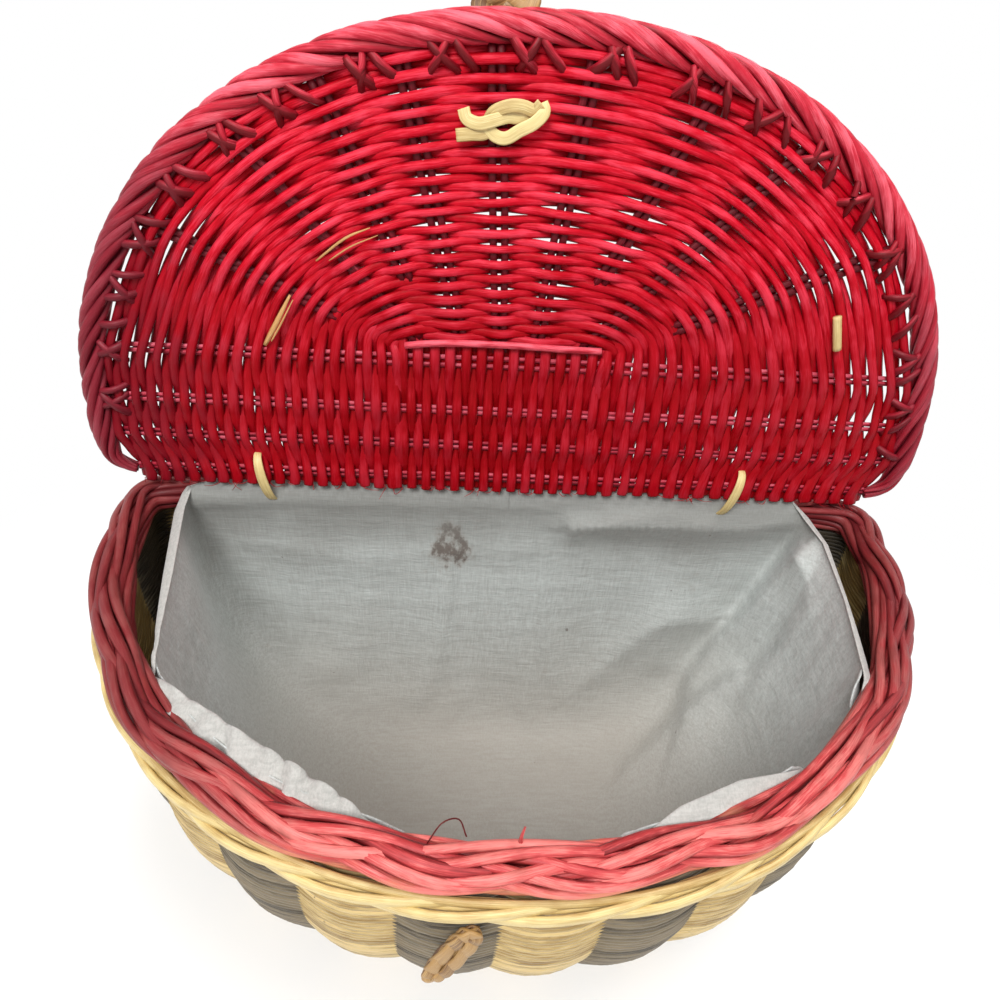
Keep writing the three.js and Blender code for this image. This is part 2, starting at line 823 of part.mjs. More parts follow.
function addPiece(parent, name, geometry, material) {
  const mesh = new THREE.Mesh(geometry, material.clone());
  mesh.name = name;
  parent.add(mesh);
}

addPiece(basket, 'rim_border', rimBorder(), dyedRose);
const walingHeight = basketHeight - walingDrop;
const walingInset = wallAt(walingHeight).inset - fluteHalfThickness - walingRadius - walingGap;
addPiece(basket, 'waling_band', outlineRope(104, walingInset, walingInset, walingHeight,
  walingRadius, 6, 2, 0.2, 13), paleCane);
addPiece(basket, 'side_weave', sideWeave(), straw);
stakeTurns.forEach((turn, i) => {
  addPiece(basket, `side_stake_${i + 1}`, sideStake(turn), greyBrown);
});
addPiece(basket, 'foot_border', outlineRope(72, wallLevels[0].inset, wallLevels[0].flatInset,
  footRadius, footRadius, 6, 2, 0.15, 9), straw);
addPiece(basket, 'base_weave', baseWeave(), straw);
baseStickSetbacks.forEach((setback, i) => {
  addPiece(basket, `base_stick_${i + 1}`,
    baseStick(setback, baseStickRadius, baseStickReach(setback)), greyBrown);
});
addPiece(basket, 'lining', lining(), cotton);
addPiece(basket, 'front_loop', frontLoop(), braidTan);
addPiece(basket, 'hinge_loop_left', hingeLoop(-1, 0), paleCane);
addPiece(basket, 'hinge_loop_right', hingeLoop(1, 0), paleCane);

const lid = new THREE.Group();
lid.rotation.x = Math.PI - openRadians;
lid.position.set(0, hingeY, hingeZ);
basket.add(lid);
const lidPlane = new THREE.Group();
lidPlane.position.y = -lidAxisOffset;
lid.add(lidPlane);

addPiece(lidPlane, 'lid_weave', lidWeave(), dyedRed);
addPiece(lidPlane, 'lid_border', lidBorder(), dyedRose);
crossStickOffsets.forEach((offset, i) => {
  addPiece(lidPlane, `lid_cross_stick_${i + 1}`, crossStick(offset), dyedRed);
});
ribAngles.forEach((angle, k) => {
  addPiece(lidPlane, `lid_rib_${k + 1}`, lidRib(k), dyedRed);
});
addPiece(lidPlane, 'lid_bar', lidBar(), dyedRed);
addPiece(lidPlane, 'lid_knot', lidKnot(), paleCane);
addPiece(lidPlane, 'hasp_strap', haspStrap(), braidTan);
addPiece(lidPlane, 'hasp_loop', haspLoop(), braidTan);

export default basket;
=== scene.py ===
import math
from collections import namedtuple

import bmesh
import bpy
import numpy as np
from bpy.props import FloatProperty, FloatVectorProperty, IntProperty, PointerProperty
from bpy.types import Operator, Panel, PropertyGroup
from mathutils import Matrix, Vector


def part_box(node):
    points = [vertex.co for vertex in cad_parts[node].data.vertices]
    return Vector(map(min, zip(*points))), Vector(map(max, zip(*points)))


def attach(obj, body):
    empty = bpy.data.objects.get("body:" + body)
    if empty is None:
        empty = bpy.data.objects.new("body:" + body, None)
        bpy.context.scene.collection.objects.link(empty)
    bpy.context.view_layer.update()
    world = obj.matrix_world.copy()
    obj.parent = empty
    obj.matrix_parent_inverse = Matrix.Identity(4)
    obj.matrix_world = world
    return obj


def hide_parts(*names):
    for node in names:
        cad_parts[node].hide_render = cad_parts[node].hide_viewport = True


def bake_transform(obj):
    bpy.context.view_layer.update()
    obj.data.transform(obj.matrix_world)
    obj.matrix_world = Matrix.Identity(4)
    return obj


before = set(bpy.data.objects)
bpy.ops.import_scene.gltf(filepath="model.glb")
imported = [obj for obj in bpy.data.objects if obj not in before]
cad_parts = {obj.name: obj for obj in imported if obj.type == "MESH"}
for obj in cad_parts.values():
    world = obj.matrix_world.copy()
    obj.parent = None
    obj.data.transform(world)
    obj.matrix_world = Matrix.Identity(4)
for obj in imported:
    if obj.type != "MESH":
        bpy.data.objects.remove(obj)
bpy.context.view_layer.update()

bl_info = {
    "name": "Half-moon wicker basket",
    "version": (1, 0, 0),
    "blender": (4, 5, 0),
    "location": "3D View > Sidebar > Basket",
    "description": "Weaves a half-moon picnic basket with a dyed lid around its frame",
    "category": "Add Mesh",
}

# Lengths are in millimetres until they go into a mesh, and in metres in materials, lamps and
# the camera. Angles are in radians, except where they go through math.radians.
MM = 0.001
TURN = 2 * math.pi
# Outlines of the rim and the lid: half width, depths of the round and the flat side, and the
# exponents of the two sides
Outline = namedtuple("Outline", "half round_depth flat_depth round_power flat_power")
RIM = Outline(210, 208, 19, 2.12, 4.05)
LID = Outline(217, 191, 28, 2.1, 5)
# The basket: how far behind its middle the hinge line and the widest part of the rim lie, its
# height, and its stakes, with where the first one stands, as a part of the step between two,
# and the points of a strand in one step
SETBACK = 82.5
HEIGHT = 195
STAKES = 26
STAKE_PHASE = 0.08
PER_STAKE = 8
# The borders, and the middle of the wall between them: its insets at parts of its rise, at the
# round side and at the flat back
RIM_RADIUS = 10.25
RIM_CENTRE = HEIGHT - RIM_RADIUS
FOOT_RADIUS = 4.2
WALL_FOOT = 2 * FOOT_RADIUS + 0.3
WALL_TOP = HEIGHT - 2 * RIM_RADIUS - 0.3
WALL_RISE = (0, 0.2, 0.4, 0.58, 0.733, 0.884, 1)
WALL_INSET = (40, 26, 13, 5.5, 3.8, 5.6, 9.5)
WALL_FLAT_INSET = (21, 15.5, 10, 6.5, 5.5, 6.5, 9.5)
# The lid: height of its hinge line, how far inside its edge that lies and how far it stands open.
# Then its sticks: how far the cross sticks lie off the hinge edge, and for the ribs their
# angles, their roots and the part of the way out at which they start.
HINGE_HEIGHT = 201.4
LID_AXIS_OFFSET = 4
LID_OPEN = math.radians(97)
CROSS_STICKS = (8, 28, 48, 74)
RIB_ANGLES = (36.7, 56.6, 70.6, 85, 95, 105.3, 115.4, 127.9, 144.9)
RIB_ROOTS = ((46, 84), (36, 90), (22, 91), (7, 91), (-12, 91), (-32, 91), (-46, 91), (-56, 90),
             (-66, 84))
RIB_STARTS = (0.27, 0, 0.27, 0, 0, 0, 0.27, 0, 0.27)
# The rows of the lid: ends of the innermost, inset of the outermost, swing, and points of a rod
# between two sticks. The closure is where the hasp sits across the lid.
INNER_LEFT, INNER_RIGHT = -66, 46
ROW_EDGE = 13
ROW_SWING = 2.8
ROW_STEPS = 8
LOOSE_FIBRES = 60
CLOSURE = -17


def linear(code):
    """Linear colour of a written web colour."""
    parts = [int(code[i:i + 2], 16) / 255 for i in (1, 3, 5)]
    return [p / 12.92 if p <= 0.04045 else ((p + 0.055) / 1.055) ** 2.4 for p in parts]


# Places on the basket and the lid

def unit(vectors):
    """Vectors of the same directions, one long."""
    return vectors / np.maximum(np.linalg.norm(vectors, axis=-1, keepdims=True), 1e-9)


def rounded(value, power):
    """A sine or cosine to a power, which keeps its sign: it rounds the corners of an oval."""
    return np.sign(value) * np.abs(value) ** power


def right_of(along):
    """Directions to the right of flat directions."""
    return np.stack([along[..., 1], -along[..., 0]], -1)


def ring_steps(ring):
    """From the point before to the point after, at each point of a closed ring."""
    return np.roll(ring, -1, 0) - np.roll(ring, 1, 0)


def outline_point(outline, turn, inset, flat_inset=None):
    """Points of a half-moon outline, moved inward."""
    flat_inset = inset if flat_inset is None else flat_inset
    turn = np.asarray(turn, float)
    cosine, sine = np.cos(turn), np.sin(turn)
    power = 2 / np.where(sine < 0, outline.flat_power, outline.round_power)
    half = outline.half - inset
    flat = outline.flat_depth * half / outline.half
    widest = flat_inset + flat - outline.flat_depth
    depth = np.where(sine < 0, flat, outline.round_depth - inset - widest)
    return half * rounded(cosine, power), widest + depth * rounded(sine, power)


def lengths_along(points):
    """Length of a line of points up to each of them."""
    return np.concatenate([[0], np.cumsum(np.linalg.norm(np.diff(points, axis=0), axis=1))])


def even_turns(count, phase=0.0):
    """Turns that divide the middle of the rim into equal lengths."""
    turns = np.linspace(0, TURN, 7201)
    lengths = lengths_along(np.stack(outline_point(RIM, turns, RIM_RADIUS), 1))
    steps = (np.arange(count) + phase) / count
    whole = np.floor(steps)
    return np.interp((steps - whole) * lengths[-1], lengths, turns) + whole * TURN


def body_point(turn, inset, flat_inset, height):
    """Points of the basket: its round side faces the front."""
    x, y = outline_point(RIM, turn, inset, flat_inset)
    return np.stack([-x, SETBACK - y, np.broadcast_to(height, x.shape)], 1)


def rim_ring(count):
    """Points of the middle of the rim border."""
    return body_point(even_turns(count), RIM_RADIUS, RIM_RADIUS, RIM_CENTRE)


def outward(ring):
    """Level outward directions of a closed ring of points that runs from the left to the front."""
    side = right_of(ring_steps(ring))
    return unit(np.column_stack([side, np.zeros(len(ring))]))


def smooth_table(keys, values, at):
    """Smooth reading of a table."""
    keys, values = np.asarray(keys, float), np.asarray(values, float)
    slopes = np.gradient(values, keys)
    i = int(np.clip(np.searchsorted(keys, at) - 1, 0, len(keys) - 2))
    step = keys[i + 1] - keys[i]
    t = (at - keys[i]) / step
    return ((2 * t ** 3 - 3 * t ** 2 + 1) * values[i] + (t ** 3 - 2 * t ** 2 + t) * step * slopes[i]
            + (3 * t ** 2 - 2 * t ** 3) * values[i + 1] + (t ** 3 - t ** 2) * step * slopes[i + 1])


def wall_insets(height):
    """Insets of the middle of the wall at the round side and at the flat back."""
    rise = (height - WALL_FOOT) / (WALL_TOP - WALL_FOOT)
    return smooth_table(WALL_RISE, WALL_INSET, rise), smooth_table(WALL_RISE, WALL_FLAT_INSET, rise)


def lid_point(across, off, out):
    """Points of the open lid: across it, off the hinge edge and out toward its inside."""
    across, off, out = np.broadcast_arrays(*(np.asarray(v, float) for v in (across, off, out)))
    away = off - LID_AXIS_OFFSET
    cosine, sine = math.cos(LID_OPEN), math.sin(LID_OPEN)
    return np.stack([across, SETBACK - away * cosine - out * sine,
                     HINGE_HEIGHT + away * sine - out * cosine], -1)


LID_ACROSS, LID_FACE = (lid_point(*step) - lid_point(0, 0, 0) for step in ((1, 0, 0), (0, 0, 1)))


def lid_edge(turn, inset):
    """Points of the lid's outline, across it and off the hinge edge."""
    x, y = outline_point(LID, turn, inset, 0)
    return x, y + LID.flat_depth


def lid_reach(off, inset):
    """Half width of the lid at a distance off the hinge edge."""
    half = LID.half - inset
    flat = LID.flat_depth * half / LID.half
    rise = off - flat
    depth = flat if rise < 0 else LID.flat_depth + LID.round_depth - inset - flat
    power = LID.flat_power if rise < 0 else LID.round_power
    return half * (1 - (abs(rise) / depth) ** power) ** (1 / power)


def through(points, per_span):
    """Catmull-Rom curve through points, with evenly many steps in each span."""
    points = np.asarray(points, float)
    padded = np.vstack([2 * points[0] - points[1], points, 2 * points[-1] - points[-2]])
    t = (np.arange(per_span) / per_span)[:, None]
    spans = []
    for a, b, c, d in zip(padded, padded[1:], padded[2:], padded[3:]):
        spans.append(0.5 * (2 * b + (c - a) * t + (2 * a - 5 * b + 4 * c - d) * t ** 2
                            + (3 * b - a - 3 * c + d) * t ** 3))
    return np.vstack(spans + [points[-1:]])


# Rods and flat canes: each one is a grid of points wrapped into a tube along its path

def oval(half_side, half_rise, points=8, power=2.0):
    """Section of a rod or of a flat cane."""
    angles = TURN * (np.arange(points) + 0.5) / points
    return np.stack([half_side * rounded(np.cos(angles), 2 / power),
                     half_rise * rounded(np.sin(angles), 2 / power)], 1)


# Rods of another tone read another stretch of the grain's pattern
GRAIN_SHIFT = 3000


def rod(points, side, section, tone_and_shade, closed=False, taper=None, widen=None):
    """Rings of a rod along points. The side hint carries the first measure of its section.
    The tone along it is the rod's own tone plus painted light and shade where it passes over or
    under others.
    """
    points = np.asarray(points, float)
    tone_and_shade = np.broadcast_to(np.asarray(tone_and_shade, float), len(points))
    side = np.broadcast_to(np.asarray(side, float), points.shape)
    along = unit(ring_steps(points) if closed else np.gradient(points, axis=0))
    side = unit(side - along * (side * along).sum(1, keepdims=True))
    rise = np.cross(along, side)
    scale = np.ones(len(points)) if taper is None else np.asarray(taper)
    widen = scale if widen is None else np.asarray(widen)
    rings = (points[:, None] + side[:, None] * section[None, :, :1] * scale[:, None, None]
             + rise[:, None] * section[None, :, 1:] * widen[:, None, None])
    if closed:
        rings = np.concatenate([rings, rings[:1]])
        tone_and_shade = np.append(tone_and_shade, tone_and_shade[0])
    grain = np.empty(rings.shape)
    grain[..., :2] = section / np.abs(section).max()
    grain[..., 2] = lengths_along(rings.mean(1))[:, None] + GRAIN_SHIFT * tone_and_shade[0]
    return rings, grain, tone_and_shade, closed


def wander(draw, size, waves, step):
    """A slow random sway along a rod: some waves of random height and start."""
    return sum(draw.normal(0, size) * np.sin(TURN * (k * step + draw.uniform()))
               for k in waves)


def kept_mesh(name, work):
    """A smooth mesh of what a bmesh holds."""
    for face in work.faces:
        face.smooth = True
    mesh = bpy.data.meshes.new(name)
    work.to_mesh(mesh)
    work.free()
    return mesh


def tube_mesh(name, rods):
    """One mesh of many rods, with the length grain and the tone of each kept on its points; the
    tone also carries painted light and shade.
    """
    work = bmesh.new()
    grain_layer = work.verts.layers.float_vector.new("grain")
    tone_and_shade_layer = work.verts.layers.float.new("tone_and_shade")
    for rings, grain, tone_and_shade, closed in rods:
        count, sides = rings.shape[:2]
        wrap = list(range(sides)) + [0]
        places = (rings[:, wrap] * MM).reshape(-1, 3).tolist()
        grains = grain[:, wrap].reshape(-1, 3).tolist()
        tones_and_shades = np.repeat(tone_and_shade, len(wrap)).tolist()
        made = bmesh.ops.create_grid(work, x_segments=sides, y_segments=count - 1, size=1)["verts"]
        for vert, place, streak, shade in zip(made, places, grains, tones_and_shades):
            vert.co = place
            vert[grain_layer] = streak
            vert[tone_and_shade_layer] = shade
        bmesh.ops.remove_doubles(work, verts=made, dist=1e-7)
        if not closed:
            ends = [edge for vert in made if vert.is_valid for edge in vert.link_edges
                    if edge.is_boundary]
            bmesh.ops.holes_fill(work, edges=list(dict.fromkeys(ends)), sides=sides)
    bmesh.ops.recalc_face_normals(work, faces=work.faces)
    return kept_mesh(name, work)


def linked(name, data):
    """A new object of the scene."""
    made = bpy.data.objects.new(name, data)
    bpy.context.scene.collection.objects.link(made)
    return made


def level_sheet(name, segments, size, height):
    """A level square sheet. Its half side and its height are in metres."""
    work = bmesh.new()
    bmesh.ops.create_grid(work, x_segments=segments, y_segments=segments, size=size)
    bmesh.ops.translate(work, verts=work.verts, vec=(0, 0, height))
    return linked(name, kept_mesh(name, work))


def add_piece(name, mesh, body, finish, replaced=()):
    """Puts a finished mesh in the scene, on its body and in its material slot."""
    piece = linked(name, mesh)
    mesh.materials.append(finishes[finish])
    if body:
        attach(piece, body)
    if replaced:
        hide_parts(*replaced)
    return piece


def add_rods(name, rods, body, finish, slot, *replaced):
    """Adds a piece that is made of rods."""
    return add_piece(name, tube_mesh(name, rods), body, finish, replaced)


# Materials

class Wire:
    """An output of a node that takes part in sums."""

    def __init__(self, nodes, socket):
        self.nodes, self.socket = nodes, socket

    def sum(self, operation, *values):
        """A Math node of wires and numbers."""
        return self.nodes.node("ShaderNodeMath", {"operation": operation},
                               dict(enumerate(values)))

    def __add__(self, other):
        return self.sum("ADD", self, other)

    def __radd__(self, other):
        return self.sum("ADD", other, self)

    def __sub__(self, other):
        return self.sum("SUBTRACT", self, other)

    def __rsub__(self, other):
        return self.sum("SUBTRACT", other, self)

    def __mul__(self, other):
        return self.sum("MULTIPLY", self, other)

    def __rmul__(self, other):
        return self.sum("MULTIPLY", other, self)

    def larger(self, other):
        """The larger of two wires."""
        return self.sum("MAXIMUM", self, other)

    def between(self, low, high):
        """0 below low, 1 above high, and smooth between them."""
        return self.nodes.node("ShaderNodeMapRange", {"interpolation_type": "SMOOTHSTEP"},
                               {0: self, 1: low, 2: high, 3: 0.0, 4: 1.0})


class Nodes:
    """The nodes of a material or of the world."""

    def __init__(self, tree):
        self.tree = tree

    def node(self, kind, settings=None, values=None, output=0):
        """Adds a node with its settings and the values or wires of its sockets."""
        made = self.tree.nodes.new(kind)
        for name, value in (settings or {}).items():
            setattr(made, name, value)
        for key, value in (values or {}).items():
            if isinstance(value, Wire):
                self.tree.links.new(value.socket, made.inputs[key])
            else:
                made.inputs[key].default_value = value
        return Wire(self, made.outputs[output])

    def background_share(self):
        """1 for the rays that show the white background: from the camera, a gloss or glass."""
        camera, gloss, glass = (self.node("ShaderNodeLightPath", {}, {}, f"Is {kind} Ray")
                                for kind in ("Camera", "Glossy", "Transmission"))
        return camera.larger(gloss).larger(glass)


class Finish(Nodes):
    """A node material and its Principled shader."""

    def __init__(self, name, **constants):
        self.material = bpy.data.materials.new(name)
        self.material.use_nodes = True
        super().__init__(self.material.node_tree)
        self.shader = self.tree.nodes["Principled BSDF"]
        for socket, value in constants.items():
            self.shader.inputs[socket.replace("_", " ")].default_value = value

    def attribute(self, name, output):
        """What a mesh keeps on its points."""
        return self.node("ShaderNodeAttribute", {"attribute_name": name}, {}, output)

    def axis(self, letter, vector=None):
        """One coordinate of a vector, or else of the place on the object."""
        return self.node("ShaderNodeSeparateXYZ", {}, {0: vector or self.place()}, letter)

    def place(self, stretch=(1, 1, 1), vector=None):
        """A vector, or else the place on the object, times a stretch."""
        if vector is None:
            vector = self.node("ShaderNodeTexCoord", {}, {}, "Object")
        return self.node("ShaderNodeMapping", {}, {"Vector": vector, "Scale": stretch})

    def noise(self, vector, scale, detail=3.0, roughness=0.55):
        """A noise pattern of a vector."""
        return self.node("ShaderNodeTexNoise", {}, {"Vector": vector, "Scale": scale,
                                                    "Detail": detail, "Roughness": roughness})

    def mix(self, share, first, second):
        """Mixes two colours, each a wire, a written web colour or its three values."""
        first, second = (colour if isinstance(colour, Wire) else
                         (*(linear(colour) if isinstance(colour, str) else colour), 1)
                         for colour in (first, second))
        return self.node("ShaderNodeMix", {"data_type": "RGBA"},
                         {0: share, 6: first, 7: second}, 2)

    def feed(self, **sockets):
        """Links wires to the shader."""
        for name, wire in sockets.items():
            self.tree.links.new(wire.socket, self.shader.inputs[name.replace("_", " ")])

    def bump(self, height, strength, distance):
        """Normals of a surface raised by a height."""
        return self.node("ShaderNodeBump", {}, {"Strength": strength, "Distance": distance,
                                                "Height": height})


def rod_finish(name, deep, main, worn_and_highlight, roughness, coat, streak=0.5, dust=None, fade=None,
               lower_shade_and_dye=None, side_darkening=None, shine=0.2):
    """Peeled and dyed willow: streaks along each rod, a tone for each rod with painted shade where
    it passes under others, a painted highlight on the side that its side hint points to, and worn
    ridges in a pale colour that also paints highlights. Dust makes dark spots, fade is the colour
    low at the front, the lower shade and dye is the colour of the lid's lower part, darker there
    from painted shade and deeper dye, and the side darkening is the colour toward both sides, with
    where it begins and is full."""
    finish = Finish(name, Coat_Weight=coat, Coat_Roughness=0.32)
    finish.shader.inputs["Specular IOR Level"].default_value = shine
    grain = finish.attribute("grain", "Vector")
    tone_and_shade = finish.attribute("tone_and_shade", "Fac")
    fibre = finish.noise(finish.place((1.2, 1.2, 0.035), grain), 3.2, 4.0, 0.6)
    fine = finish.noise(finish.place((4, 4, 0.05), grain), 3.0, 3.0, 0.6)
    patch = finish.noise(finish.place((0.25, 0.25, 0.05), grain), 1.4, 2.0)
    spots = finish.noise(finish.place(), 55.0, 3.0)
    # Painted light and shade: each rod is lighter on the side that its side hint points to, and its
    # tone carries the shade where it passes under others.
    lit_side = finish.axis("X", grain).between(-0.1, 1.0)
    depth = ((fibre - 0.5) * streak * 1.4 + (patch - 0.5) * 0.6 + tone_and_shade * 0.45 + lit_side * 0.5
             + 0.05)
    colour = finish.mix(depth.between(0.0, 0.75), deep, main)
    # Worn ridges, pale along the streaks, which also paint highlights on the lighter tone and the
    # lit side.
    ridge = (fine * 0.45 + fibre * 0.45 + (patch - 0.5) * 0.5 + (tone_and_shade - 0.5) * 0.18
             + lit_side * 0.1).between(0.47, 0.72)
    colour = finish.mix(ridge * 0.62, colour, worn_and_highlight)
    if dust:
        colour = finish.mix((spots + patch * 0.4).between(0.72, 0.95) * 0.5, colour, dust)
    # The lid's lower part is darker: painted shade, and deeper dye.
    if lower_shade_and_dye:
        low = 1 - (finish.axis("Z") + (patch - 0.5) * 0.05).between(0.25, 0.35)
        colour = finish.mix(low * 0.7, colour, lower_shade_and_dye)
    if fade:
        middle = RIM_CENTRE * MM
        low = 1 - (finish.axis("Z") + (patch - 0.5) * 0.02).between(middle - 0.006,
                                                                    middle + 0.004)
        front = 1 - finish.axis("Y").between(-0.06, 0.0)
        colour = finish.mix(low * front * 0.7, colour, fade)
    # Darker toward both sides.
    if side_darkening:
        across = finish.axis("X") - 0.02
        across = across.sum("ABSOLUTE", across) + (patch - 0.5) * 0.08
        colour = finish.mix(across.between(*side_darkening[1:]) * 0.8, colour, side_darkening[0])
    finish.feed(Base_Color=colour,
                Roughness=roughness + (fibre - 0.5) * 0.35 + (1 - ridge) * 0.04,
                Normal=finish.bump(fine * 0.5 + fibre, 0.5, 0.0004))
    return finish.material


def cane_finish(name, dark, main, pale, fibres=0.6, roughness=0.5, coat=0.12, specks=None):
    """Natural cane: long parallel fibres, paler ridges and small dark specks."""
    finish = Finish(name, Coat_Weight=coat, Coat_Roughness=0.35)
    grain = finish.attribute("grain", "Vector")
    tone_and_shade = finish.attribute("tone_and_shade", "Fac")
    long_fibre = finish.noise(finish.place((2.2, 2.2, 0.02), grain), 3.4, 5.0, 0.65)
    hair = finish.noise(finish.place((7, 7, 0.03), grain), 3.0, 2.0, 0.6)
    patch = finish.noise(finish.place((0.3, 0.3, 0.06), grain), 1.3, 2.0)
    specked = finish.noise(finish.place(), 420.0, 2.0)
    # The tone carries painted shade where a strand passes behind or under others.
    depth = (long_fibre - 0.5) * fibres * 2 + (patch - 0.5) * 0.8 + tone_and_shade * 0.6 + 0.15
    colour = finish.mix(depth.between(0.0, 0.8), dark, main)
    colour = finish.mix((hair * 0.6 + long_fibre * 0.4).between(0.5, 0.7) * 0.65, colour, pale)
    if specks:
        colour = finish.mix(specked.between(0.7, 0.76) * 0.7, colour, specks)
    finish.feed(Base_Color=colour, Roughness=roughness + (long_fibre - 0.5) * 0.3,
                Normal=finish.bump(hair * 0.5 + long_fibre, 0.55, 0.00035))
    return finish.material


def cotton_finish(name, main, darker_cloth, stain=None):
    """Plain woven cotton: uneven threads both ways, soiled patches and darker toward the bottom.
    With a stain come specks and a painted shadow of the lid along the top of the back.
    """
    finish = Finish(name, Sheen_Weight=0.2, Sheen_Roughness=0.5)
    across = finish.noise(finish.place((70, 500, 1250)), 1.0, 3.0, 0.75)
    along = finish.noise(finish.place((1250, 500, 70)), 1.0, 3.0, 0.75)
    threads = across + along - 1
    cloud = finish.noise(finish.place(), 9.0, 4.0)
    colour = finish.mix((cloud + threads * 0.3).between(0.4, 0.72) * 0.25, main, darker_cloth)
    colour = finish.mix((threads * 0.5 + 0.5).between(0.36, 0.64) * 0.42, colour, "#868883")
    height = finish.axis("Z") + (cloud - 0.5) * 0.08
    # Darker toward the bottom of the bag.
    low = 1 - height.between(-0.03, 0.13)
    colour = finish.mix(low * 0.8, colour, darker_cloth)
    if stain:
        place = finish.node("ShaderNodeVectorMath", {"operation": "SUBTRACT"},
                            {0: finish.place(), 1: STAIN})
        away = finish.node("ShaderNodeVectorMath", {"operation": "LENGTH"},
                           {0: finish.place((1, 0.3, 0.7), place)}, "Value")
        blot = finish.noise(finish.place((1, 1, 0.6)), 150.0, 4.0, 0.65)
        shape = (1 - away.between(0.002, 0.024)) * 0.34 + blot - 0.5
        colour = finish.mix(shape.between(0.12, 0.4) * 0.4, colour, "#8a7360")
        colour = finish.mix(shape.between(0.25, 0.42) * 0.8, colour, stain)
        # Painted shadow of the lid: a darker grey band along the top of the back of the lining.
        back = finish.axis("Y").between(0.04, 0.075) * height.between(0.125, 0.185)
        colour = finish.mix(back * 0.75, colour, "#7a7974")
        specks = finish.noise(finish.place(), 150.0, 1.0)
        colour = finish.mix(specks.between(0.8, 0.83) * 0.6, colour, stain)
    crease = finish.noise(finish.place((14, 14, 60)), 1.0, 4.0, 0.6)
    finish.feed(Base_Color=colour, Roughness=0.85 + threads * 0.1,
                Normal=finish.bump(threads * 0.6 + crease * 5, 0.5, 0.0007))
    return finish.material


def solid_stake_finish():
    """A finish for the stakes, which stay solids: its fibre follows their own coordinates."""
    finish = Finish("stake on solid", Coat_Weight=0.05, Coat_Roughness=0.4)
    fibre = finish.noise(finish.place((260, 260, 60)), 1.0, 4.0, 0.6)
    patch = finish.noise(finish.place(), 30.0, 2.0)
    colour = finish.mix((fibre * 0.7 + patch * 0.5).between(0.4, 0.75), "#2b2118", "#6a583f")
    finish.feed(Base_Color=colour, Roughness=0.5 + fibre * 0.25,
                Normal=finish.bump(fibre, 0.4, 0.0004))
    return finish.material


finishes = {}


def make_finishes(colours):
    """All finishes of the basket, from the colours of the panel."""
    # Each willow finish lists its darkest colour, its main colour and the pale colour of worn
    # ridges that also paints highlights, then roughness, coat and streaks.
    finishes.update({
        "red": rod_finish("dyed red willow", "#760000", colours.lid_red, "#fb4c64", 0.4, 0.04, 0.8,
                          lower_shade_and_dye="#8e0007", side_darkening=("#6e0c1a", 0.15, 0.215), shine=0.1),
        "stick": rod_finish("dyed red stick", "#5e0614", "#b3263a", "#e8788a", 0.45, 0.05, 0.8),
        "rose": rod_finish("faded rose willow", "#54080c", colours.rim_rose, "#fb9a90", 0.42, 0.1,
                           0.55, dust="#8f4438", fade="#e09a76", side_darkening=("#5e1a1e", 0.08, 0.18)),
        "edge": rod_finish("faded rose lid edge", "#64020c", "#bc1f33", "#ff7888", 0.42, 0.08, 0.6,
                           side_darkening=("#671422", 0.14, 0.21)),
        "straw": cane_finish("natural straw cane", "#8a6c36", colours.straw, "#f3dfa6",
                             specks="#6d5128"),
        "grey": cane_finish("grey weathered cane", "#2e261b", colours.grey, "#ab9c80", 0.8, 0.6,
                            0.05),
        "cream": cane_finish("cream cane", "#b08d50", colours.cane, "#fbeab8"),
        "tan": cane_finish("tan plaited straw", "#5d3a1c", "#a9834f", "#d9b981", 0.9, 0.5, 0.12),
        "splinter": cane_finish("pale splinter", "#a9723c", "#d8a667", "#f2d29c", 0.8, 0.5, 0.05),
        "cotton": cotton_finish("grey cotton", colours.cotton, "#978c80", "#4e3a2e"),
        "hem": cotton_finish("white cotton hem", "#bab9b4", "#a09c95"),
        "solid stake": solid_stake_finish(),
    })


# Settings

def colour_property(name, description, code):
    """A setting for a colour, from a written web colour."""
    return FloatVectorProperty(name=name, description=description, subtype="COLOR", size=3,
                               min=0, max=1, default=linear(code))


def length_property(name, description, millimetres):
    """A setting for a length."""
    return FloatProperty(name=name, description=description, subtype="DISTANCE", unit="LENGTH",
                         default=millimetres * MM)


class BasketSizes(PropertyGroup):
    wall_rows: IntProperty(name="Wall rows", description="Rows of weave from foot to rim",
                           default=54)
    wall_rod: length_property("Wall rod", "Height of a rod of the side weave", 3.25)
    plait_rod: length_property("Plait rod", "Diameter of the rods of the rim border", 4.6)
    wale_cane: length_property("Waling cane", "Width of the cane under the rim border", 6.0)
    lid_rows: IntProperty(name="Lid rows", description="Nested rods of the lid", default=37)
    lid_rod: length_property("Lid rod", "Diameter of a rod of the lid", 3.5)
    short_rods: IntProperty(name="Short rods", description="Upright rods below the lid's bar",
                            default=28)
    hinge_cane: length_property("Hinge cane", "Width of the cane of a hinge loop", 5.2)
    lining_cells: IntProperty(name="Lining cells", description="Cells across the lining",
                              default=96)


class BasketColours(PropertyGroup):
    lid_red: colour_property("Lid red", "Dye of the lid's rods", "#c70420")
    rim_rose: colour_property("Rim rose", "Faded dye of the rim border", "#c24244")
    straw: colour_property("Straw", "Natural cane of the wall", "#dcc082")
    grey: colour_property("Grey", "Weathered cane of the wall", "#7f725b")
    cane: colour_property("Cream cane", "Cane of the waling, hinges and knot", "#e4ce8e")
    cotton: colour_property("Cotton", "Cloth of the lining", "#c5cac7")


# Side weave

def finish_solids(prefix, count):
    """Gives the finish of a stake to solids that stay."""
    for i in range(count):
        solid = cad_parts[f"{prefix}{i + 1}"]
        solid.material_slots[0].material = finishes["solid stake"]


